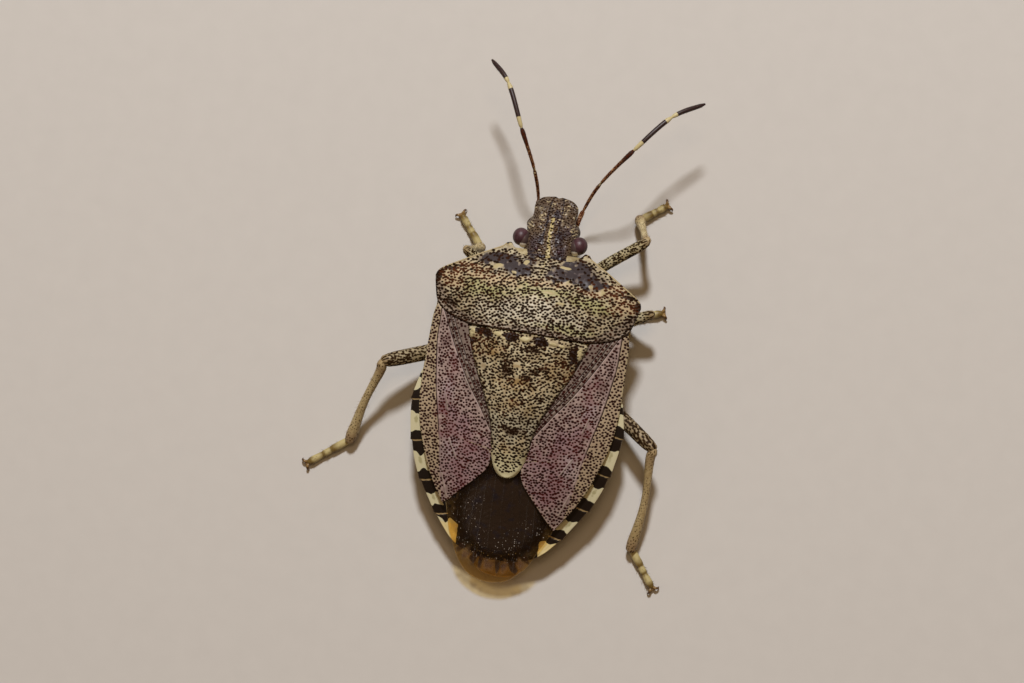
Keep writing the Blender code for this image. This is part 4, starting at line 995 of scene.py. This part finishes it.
def limb(path, radii, sides=20, flat=1.0, pits=None, depth=0.0, **values):
    """A round limb along a path, with rounded ends, as a part. radii are (share of the way, radius) points, and flat
    squeezes it sideways. pits are (spacing, radius, stretch, seed) and depth is theirs. The values are numbers or
    functions of the share of the way."""
    path = np.asarray(path, float)
    length = np.concatenate([[0], np.cumsum(np.linalg.norm(np.diff(path, axis=0), axis=1))])
    share = np.linspace(0, 1, max(8, int(length[-1] / LIMB_DETAIL)))
    centres = np.stack([np.interp(share * length[-1], length, path[:, k]) for k in range(3)], -1)
    radius = through(radii)(share)
    reach = np.sqrt(1 - LIMB_ENDS ** 2)
    first, last = centres[0] - centres[1], centres[-1] - centres[-2]
    first, last = first / np.linalg.norm(first), last / np.linalg.norm(last)
    start = centres[0] + first * radius[0] * reach[::-1, None] * 0.7
    end = centres[-1] + last * radius[-1] * reach[:, None] * 0.7
    centres = np.concatenate([start, centres, end])
    radius = np.concatenate([radius[0] * LIMB_ENDS[::-1], radius, radius[-1] * LIMB_ENDS])
    share = np.concatenate([[0] * 4, share, [1] * 4])
    along = np.gradient(centres, axis=0)
    along /= np.linalg.norm(along, axis=1)[:, None]
    up = ALMOST_UP - along * (along @ ALMOST_UP)[:, None]
    up /= np.linalg.norm(up, axis=1)[:, None]
    aside = np.cross(along, up)
    turn = np.linspace(0, 2 * math.pi, sides, endpoint=False)[None, :, None]
    outwards = -np.cos(turn) * up[:, None] + np.sin(turn) * aside[:, None] * flat
    rings = np.broadcast_to(radius[:, None], (len(radius), sides)).copy()
    around = turn[..., 0] * radius.max() + 0 * rings
    position = share[:, None] * length[-1] + 0 * rings
    if pits:
        spacing, size, stretch, seed = pits
        places = scatter((0, 0), (length[-1], 2 * math.pi * radius.max()), spacing, lambda px, py: 1 + 0 * px, seed)
        pit, own = pitted(position, around, places, size, stretch, seed + 1)
        rings -= depth * ease(pit, 0.15, 0.7)
        values |= {"pit": pit, "warm": 0.3 + 0.5 * (own - 0.5)}
    points = centres[:, None] + outwards * rings[..., None]
    at = share[:, None] + 0 * rings
    values = {key: np.ravel(given(at) if callable(given) else given + 0 * at) for key, given in values.items()}
    return points.reshape(-1, 3), grid_faces(*rings.shape, ring=True), values


def beak():
    parts = []
    for number, (start, end) in enumerate(zip(BEAK_JOINTS, BEAK_JOINTS[1:])):
        start, end = np.array(start), np.array(end)
        size = BEAK_RADIUS * (1 - 0.16 * number)
        last = number == 3
        middle, tip = (0.5, 0.18) if last else (1, 0.85)
        shape = ((0, 0.8 * size), (0.1, size), (0.85, middle * size), (1, tip * size))
        parts.append(limb([start + (end - start) * 0.015, end - (end - start) * 0.015], shape, 16,
                          dark=lambda share, last=last: last * ease(share, 0.4, 0.9) + bump((share - 1) / 0.08)))
    skin = chitin("beak_chitin", ("#a88f5f", "#937a4c", "#7a6238"), (("dark", "#2a1a10"),), roughness=0.35)
    piece("beak_sheath", parts, skin, "beak_shell", "beak")


beak()


# The feelers: five thin tubes of chitin in line, each joined to the next by a narrow neck, and all hinged on a knob
# below the head's edge. The inner ones are red-brown and finely pitted, and the outer two near black with cream rings.
FEELERS = {
    "antenna_left": ((-0.74, 7.05, 1.6), (-0.72, 7.95, 1.5), (-1.01, 9.03, 2.6), (-1.71, 10.48, 3.75),
                     (-2.54, 12.19, 3.65), (-3.41, 13.08, 3.1)),
    "antenna_right": ((0.96, 6.95, 1.6), (1.15, 7.8, 1.5), (1.71, 8.9, 2.6), (2.85, 10.32, 3.75),
                      (4.1, 11.88, 3.6), (5.32, 12.7, 3.1)),
}
FEELER_SHAPES = (
    ((0, 0.08), (0.3, 0.1), (0.9, 0.1), (1, 0.075)),
    ((0, 0.05), (0.1, 0.066), (0.9, 0.075), (1, 0.06)),
    ((0, 0.05), (0.08, 0.068), (0.6, 0.078), (0.92, 0.098), (1, 0.07)),
    ((0, 0.05), (0.06, 0.08), (0.3, 0.095), (0.9, 0.1), (1, 0.065)),
    ((0, 0.05), (0.1, 0.085), (0.5, 0.1), (0.85, 0.085), (1, 0.045)),
)
FEELER_GAP = 0.04  # between two segments
FEELER_HAIR = 0.1  # the longest hair
FEELER_PALE = ((), ((0.88, 1.12),), ((-0.12, 0.08),), ((-0.12, 0.26), (0.85, 1.12)), ((-0.12, 0.19),))
FEELER_DARK = (0.35, 0.0, 0.95, 1.0, 1.0)  # how dark each segment's ground is


def path_through(points, steps):
    """A smooth path through points in space, with the given number of steps to each stretch."""
    points = np.asarray(points, float)
    padded = np.concatenate([[2 * points[0] - points[1]], points, [2 * points[-1] - points[-2]]])
    path = []
    for s in np.linspace(0, len(points) - 1, (len(points) - 1) * steps + 1):
        i = min(int(s), len(points) - 2)
        t = s - i
        p0, p1, p2, p3 = padded[i:i + 4]
        path.append(0.5 * (2 * p1 + (p2 - p0) * t + (2 * p0 - 5 * p1 + 4 * p2 - p3) * t * t
                           + (3 * p1 - p0 - 3 * p2 + p3) * t ** 3))
    return np.array(path)


def hairs_along(random, path, radii, shares, slant, long, lengths, width=1):
    """Hairs on a limb, one at each share of the way along its path, as (root, way, length). radii are the limb's shape
    in shares of its width, slant is how far they lean forward, and lengths are shares of long. None reaches the
    floor."""
    forward = (path[-1] - path[0]) / np.linalg.norm(path[-1] - path[0])
    hairs = []
    for at in shares:
        place = np.array([np.interp(at, np.linspace(0, 1, len(path)), path[:, k]) for k in range(3)])
        out = random.normal(size=3)
        out -= forward * out.dot(forward)
        out /= np.linalg.norm(out)
        root = place + out * through(radii)(at) * 0.9 * width
        if root[2] + out[2] * long > 0.02:
            hairs.append((root, out + slant * forward, random.uniform(*lengths) * long))
    return hairs


def bristles(hairs, thickness):
    """Fine stiff hairs, each a three-sided spike from its root along its way."""
    roots, ways, lengths = [np.array(each) for each in zip(*hairs)]
    ways = ways / np.linalg.norm(ways, axis=1)[:, None]
    one = np.cross(ways, (0.3, 0.2, 0.9))
    one /= np.linalg.norm(one, axis=1)[:, None]
    two = np.cross(ways, one)
    foot = [roots + thickness * (math.cos(a) * one + math.sin(a) * two) for a in (0, 2.1, 4.2)]
    points = np.stack([*foot, roots + ways * lengths[:, None]], 1).reshape(-1, 3)
    sides = ((0, 1, 3), (1, 2, 3), (2, 0, 3), (2, 1, 0))
    return points, [[start + k for k in side] for start in range(0, len(points), 4) for side in sides], {}


def hair():
    """Fine insect hairs, stiff and tan, which catch the light along their edge."""
    made, tree, at = new_material("stiff_hair")
    tone = add_node(tree, "TexNoise", {"Vector": at, "Scale": 0.9})
    colour = add_node(tree, "Mix", {0: tone, 6: linear("#5b4630"), 7: linear("#a08c6a")}, out=2, data_type="RGBA")
    shader = add_node(tree, "BsdfPrincipled", {"Base Color": colour, "Roughness": 0.4})
    add_node(tree, "OutputMaterial", {"Surface": shader})
    return made


def feeler(name, joints, seed):
    random = np.random.default_rng(seed)
    whole = path_through(joints, 12)
    parts, hairs = [], []
    for number, shape in enumerate(FEELER_SHAPES):
        path = whole[number * 12:(number + 1) * 12 + 1]
        length = np.linalg.norm(path[-1] - path[0])
        inset = FEELER_GAP / 2 / length
        share = np.linspace(0, 1, len(path))
        trimmed = np.stack([np.interp(np.linspace(inset, 1 - inset, 25), share, path[:, k]) for k in range(3)], -1)

        def pale(at, bands=FEELER_PALE[number]):
            return 0 * at + sum(ease(at, start, start + 0.04) * ease(end - at, 0, 0.04) for start, end in bands)

        def dark(at, number=number):
            return FEELER_DARK[number] * (ease(at, 0.25, 0.95) if number == 2 else 1) + 0 * at

        pits = (0.075, 0.03, 1.6, seed + 3 * number) if number < 3 else None
        parts.append(limb(trimmed, shape, 16, pits=pits, depth=0.006, pale=pale, dark=dark))
        shares = random.random(int(length * (26 if number > 2 else 12)))
        hairs += hairs_along(random, trimmed, shape, shares, 0.9, FEELER_HAIR, (0.5, 1.0))
    skin = chitin(name + "_chitin", ("#b98f66", "#a0744e", "#865d3e"), (("pale", "#bdb082"),),
                  ("#4a2415", "#5a2c18"), (("dark", "#2e1e1c"),), roughness=0.4)
    root, first = np.array(joints[0]), np.array(joints[1])
    inner = root + (-0.12 * np.sign(root[0]), -0.2, 0.5)
    knob = limb([inner, root + (0, -0.12, 0.22), root + (first - root) * 0.12], ((0, 0.3), (0.6, 0.25), (1, 0.15)), 24,
                pits=(0.095, 0.03, 1.6, seed + 15), depth=0.01, fleck=lambda at: 0.6 * ease(at, 0.85, 1.0))
    piece(name + "_root", [knob], root_skin, "head_shell")
    piece(name + "_segments", parts, skin, "feeler_shell", name)
    piece(name + "_hairs", [bristles(hairs, 0.05 * FEELER_HAIR)], hair_skin, "feeler_shell")


hair_skin = hair()
root_skin = chitin("feeler_root_chitin", ("#6a5a47", "#534538", "#3e342b"), (("fleck", "#ab9c7a"),),
                   ("#1c1009", "#30190d"), roughness=0.4)
for number, (name, joints) in enumerate(FEELERS.items()):
    feeler(name, joints, 100 + 20 * number)


# The legs: each is a hip in the thorax's underside, a thick marbled thigh, a tan shin that widens to its end, and a
# foot of three short segments with two hooked claws. All are tubes of chitin with sparse hairs from the knee down.
LEGS = {  # hip, bend, knee, ankle, toe, the thigh's half-width, the shin's bow, and how dark it is
    "leg_front_left": ((-0.95, 4.2, 1.15), (-1.9, 4.75, 1.32), (-3.2, 5.42, 2.1), (-2.8, 5.72, 0.42),
                       (-3.78, 6.9, 0.18), 0.23, 0.0, 0.0),
    "leg_front_right": ((0.95, 4.3, 1.15), (2.2, 5.6, 1.5), (3.92, 6.9, 2.35), (3.44, 7.92, 0.42), (4.4, 8.65, 0.18),
                        0.235, 0.02, 0.0),
    "leg_middle_left": ((-1.0, 2.3, 1.1), (-3.5, 1.35, 1.25), (-5.68, 0.44, 2.3), (-6.74, -2.92, 0.42),
                        (-8.3, -4.15, 0.18), 0.315, 0.1, 0.6),
    "leg_middle_right": ((1.0, 2.3, 1.1), (2.9, 3.3, 1.25), (4.62, 4.1, 1.95), (3.2, 3.75, 0.42), (4.95, 4.3, 0.18),
                         0.24, 0.0, 0.3),
    "leg_hind_left": ((-1.0, 1.0, 1.0), (-2.1, -0.9, 0.62), (-3.1, -2.7, 0.62), (-1.75, -5.8, 0.34),
                      (-0.95, -6.55, 0.18), 0.25, 0.0, 0.6),
    "leg_hind_right": ((1.0, 1.0, 1.0), (3.1, 0.42, 1.0), (5.55, -1.2, 2.1), (5.34, -5.35, 0.42), (6.42, -6.75, 0.18),
                       0.295, -0.16, 0.85),
}
THIGH_SHAPE = ((0, 0.65), (0.1, 0.8), (0.6, 1.0), (0.85, 0.98), (0.95, 0.9), (1, 0.74))  # shares of its half-width
SHIN_SHAPE = ((0, 0.72), (0.07, 0.84), (0.17, 0.78), (0.28, 0.7), (0.45, 0.66), (0.68, 0.76), (0.85, 0.9),
              (0.94, 0.99), (1, 0.9))
FOOT_SHARES = (0, 0.46, 0.66, 1)
FOOT_SHAPES = (((0, 0.135), (0.12, 0.155), (0.9, 0.168), (1, 0.15)),
               ((0, 0.135), (0.2, 0.145), (0.8, 0.145), (1, 0.13)),
               ((0, 0.125), (0.2, 0.14), (0.75, 0.155), (1, 0.12)))
FOOT_BROWN = ((0.5, 0.85), (0.7, 0.8), (0.6, 1.0))  # how brown each foot segment is at its start and at its end
CLAW_HOOK = ((0.02, 0.05, 0), (0.12, 0.13, 0.05), (0.16, 0.22, 0), (0.13, 0.27, -0.13))  # ahead of the toe, aside, up
CLAW_PAD = ((0.02, 0, 0), (0.13, 0.08, -0.08))
SHIN_HAIR, FOOT_HAIR = 0.13, 0.1  # usual lengths of a hair


def leg(name, joints, seed):
    random = np.random.default_rng(seed)
    hip, bend, knee, ankle, toe = np.array(joints[:5])
    width, bow, dark = joints[5:]
    heel = np.array((ankle[0], ankle[1], 0.2))
    hip_path = [hip + (0, 0, 0.25), hip - (0, 0, 0.05), hip + (bend - hip) * 0.1]
    thigh = [limb(hip_path, ((0, 0.36), (0.5, 0.32), (1, 0.2)), 24, pits=(0.14, 0.04, 1.3, seed), dark=dark),
             limb(path_through((hip + (bend - hip) * 0.12, bend, knee), 10),
                  [(share, width * part) for share, part in THIGH_SHAPE], 40,
                  pits=(0.088 + 0.025 * dark, 0.034 + 0.017 * dark ** 2, 1.8, seed + 2),
                  depth=0.008, dark=dark, knee=lambda at: 0.7 * ease(at, 0.93, 1.0))]
    piece(name + "_thigh", thigh, thigh_chitin, "leg_shell", name)
    ahead = (knee - bend) / np.linalg.norm(knee - bend)
    down = (ankle - knee) / np.linalg.norm(ankle - knee)
    shin_width = 0.6 * width + 0.07
    shin_path = path_through((knee - ahead * 0.05, knee + (0.2 * ahead + 0.65 * down) * shin_width,
                              knee + down * shin_width * 2.2,
                              knee + (ankle - knee) * 0.55 + np.cross(down, (0, 0, 1)) * bow, ankle), 8)
    spread = 0.15 if "front" in name else 0.0
    shin = [limb(shin_path, [(share, shin_width * part * (1 + spread * share ** 2)) for share, part in SHIN_SHAPE],
                 30, 0.95, pits=(0.1, 0.021, 1.4, seed + 4), depth=0.004, dark=0.6 * dark,
                 end=lambda at: 0.75 * ease(at, 0.8, 0.97) + 0.55 * (1 - ease(at, 0.12, 0.25)))]
    for number, (shape, brown) in enumerate(zip(FOOT_SHAPES, FOOT_BROWN)):
        start, end = [heel + (toe - heel) * FOOT_SHARES[number + k] for k in (0, 1)]
        inset = (end - start) * 0.03
        shin.append(limb([start + inset, end - inset], shape, 20, foot=1.0, tip=lambda at, brown=brown:
                         brown[0] * ease(-at, -0.3, 0.0) + brown[1] * ease(at, 0.4, 1.0)))
    ahead = (toe - heel) / np.linalg.norm(toe - heel)
    aside = np.cross(ahead, (0, 0, 1))
    claws = []
    for way in (-1, 1):
        hook, pad = [[toe + ahead * a + aside * way * b + (0, 0, up) for a, b, up in steps]
                     for steps in (CLAW_HOOK, CLAW_PAD)]
        claws.append(limb(path_through(hook, 6), ((0, 0.06), (0.5, 0.05), (1, 0.015)), 10,
                          claw=lambda at: ease(at, 0.2, 0.6)))
        claws.append(limb(pad, ((0, 0.05), (0.7, 0.075), (1, 0.055)), 12))
    for points, _, _ in shin[1:] + claws:
        points[:, 2] = np.maximum(points[:, 2], 0.0)
    piece(name + "_shin_and_foot", shin, shin_chitin, "leg_shell")
    piece(name + "_claws", claws, claw_chitin, "leg_shell")
    hairs = []
    for path, shape, count, long, thick in ((shin_path, SHIN_SHAPE, 150, SHIN_HAIR, shin_width),
                                            (np.linspace(heel, toe, 12), FOOT_SHAPES[0], 90, FOOT_HAIR, 1)):
        hairs += hairs_along(random, path, shape, random.random(count) ** 0.7, 0.8, long, (0.5, 1.3), thick)
    piece(name + "_hairs", [bristles(hairs, 0.007)], hair_skin, "leg_shell")


thigh_chitin = chitin("thigh_chitin", ("#beb492", "#ac9f79", "#96875f"), (), ("#2a1c0d", "#3a2612"),
                      (("dark", "#8d7c60"), ("knee", "#85704e")), halo=0.4)
shin_chitin = chitin("shin_chitin", ("#c2b38a", "#b4a378", "#a08e66"), (), ("#3a280f", "#4a3015"),
                     (("dark", "#9a8256"), ("foot", "#b0a270"), ("end", "#8f7756"), ("tip", "#6a5526")), halo=0.35)
claw_chitin = chitin("claw_chitin", ("#8f7448", "#7a6038", "#5f4728"), (("claw", "#53391d"),), roughness=0.3)
for number, (name, joints) in enumerate(LEGS.items()):
    leg(name, joints, 200 + 20 * number)
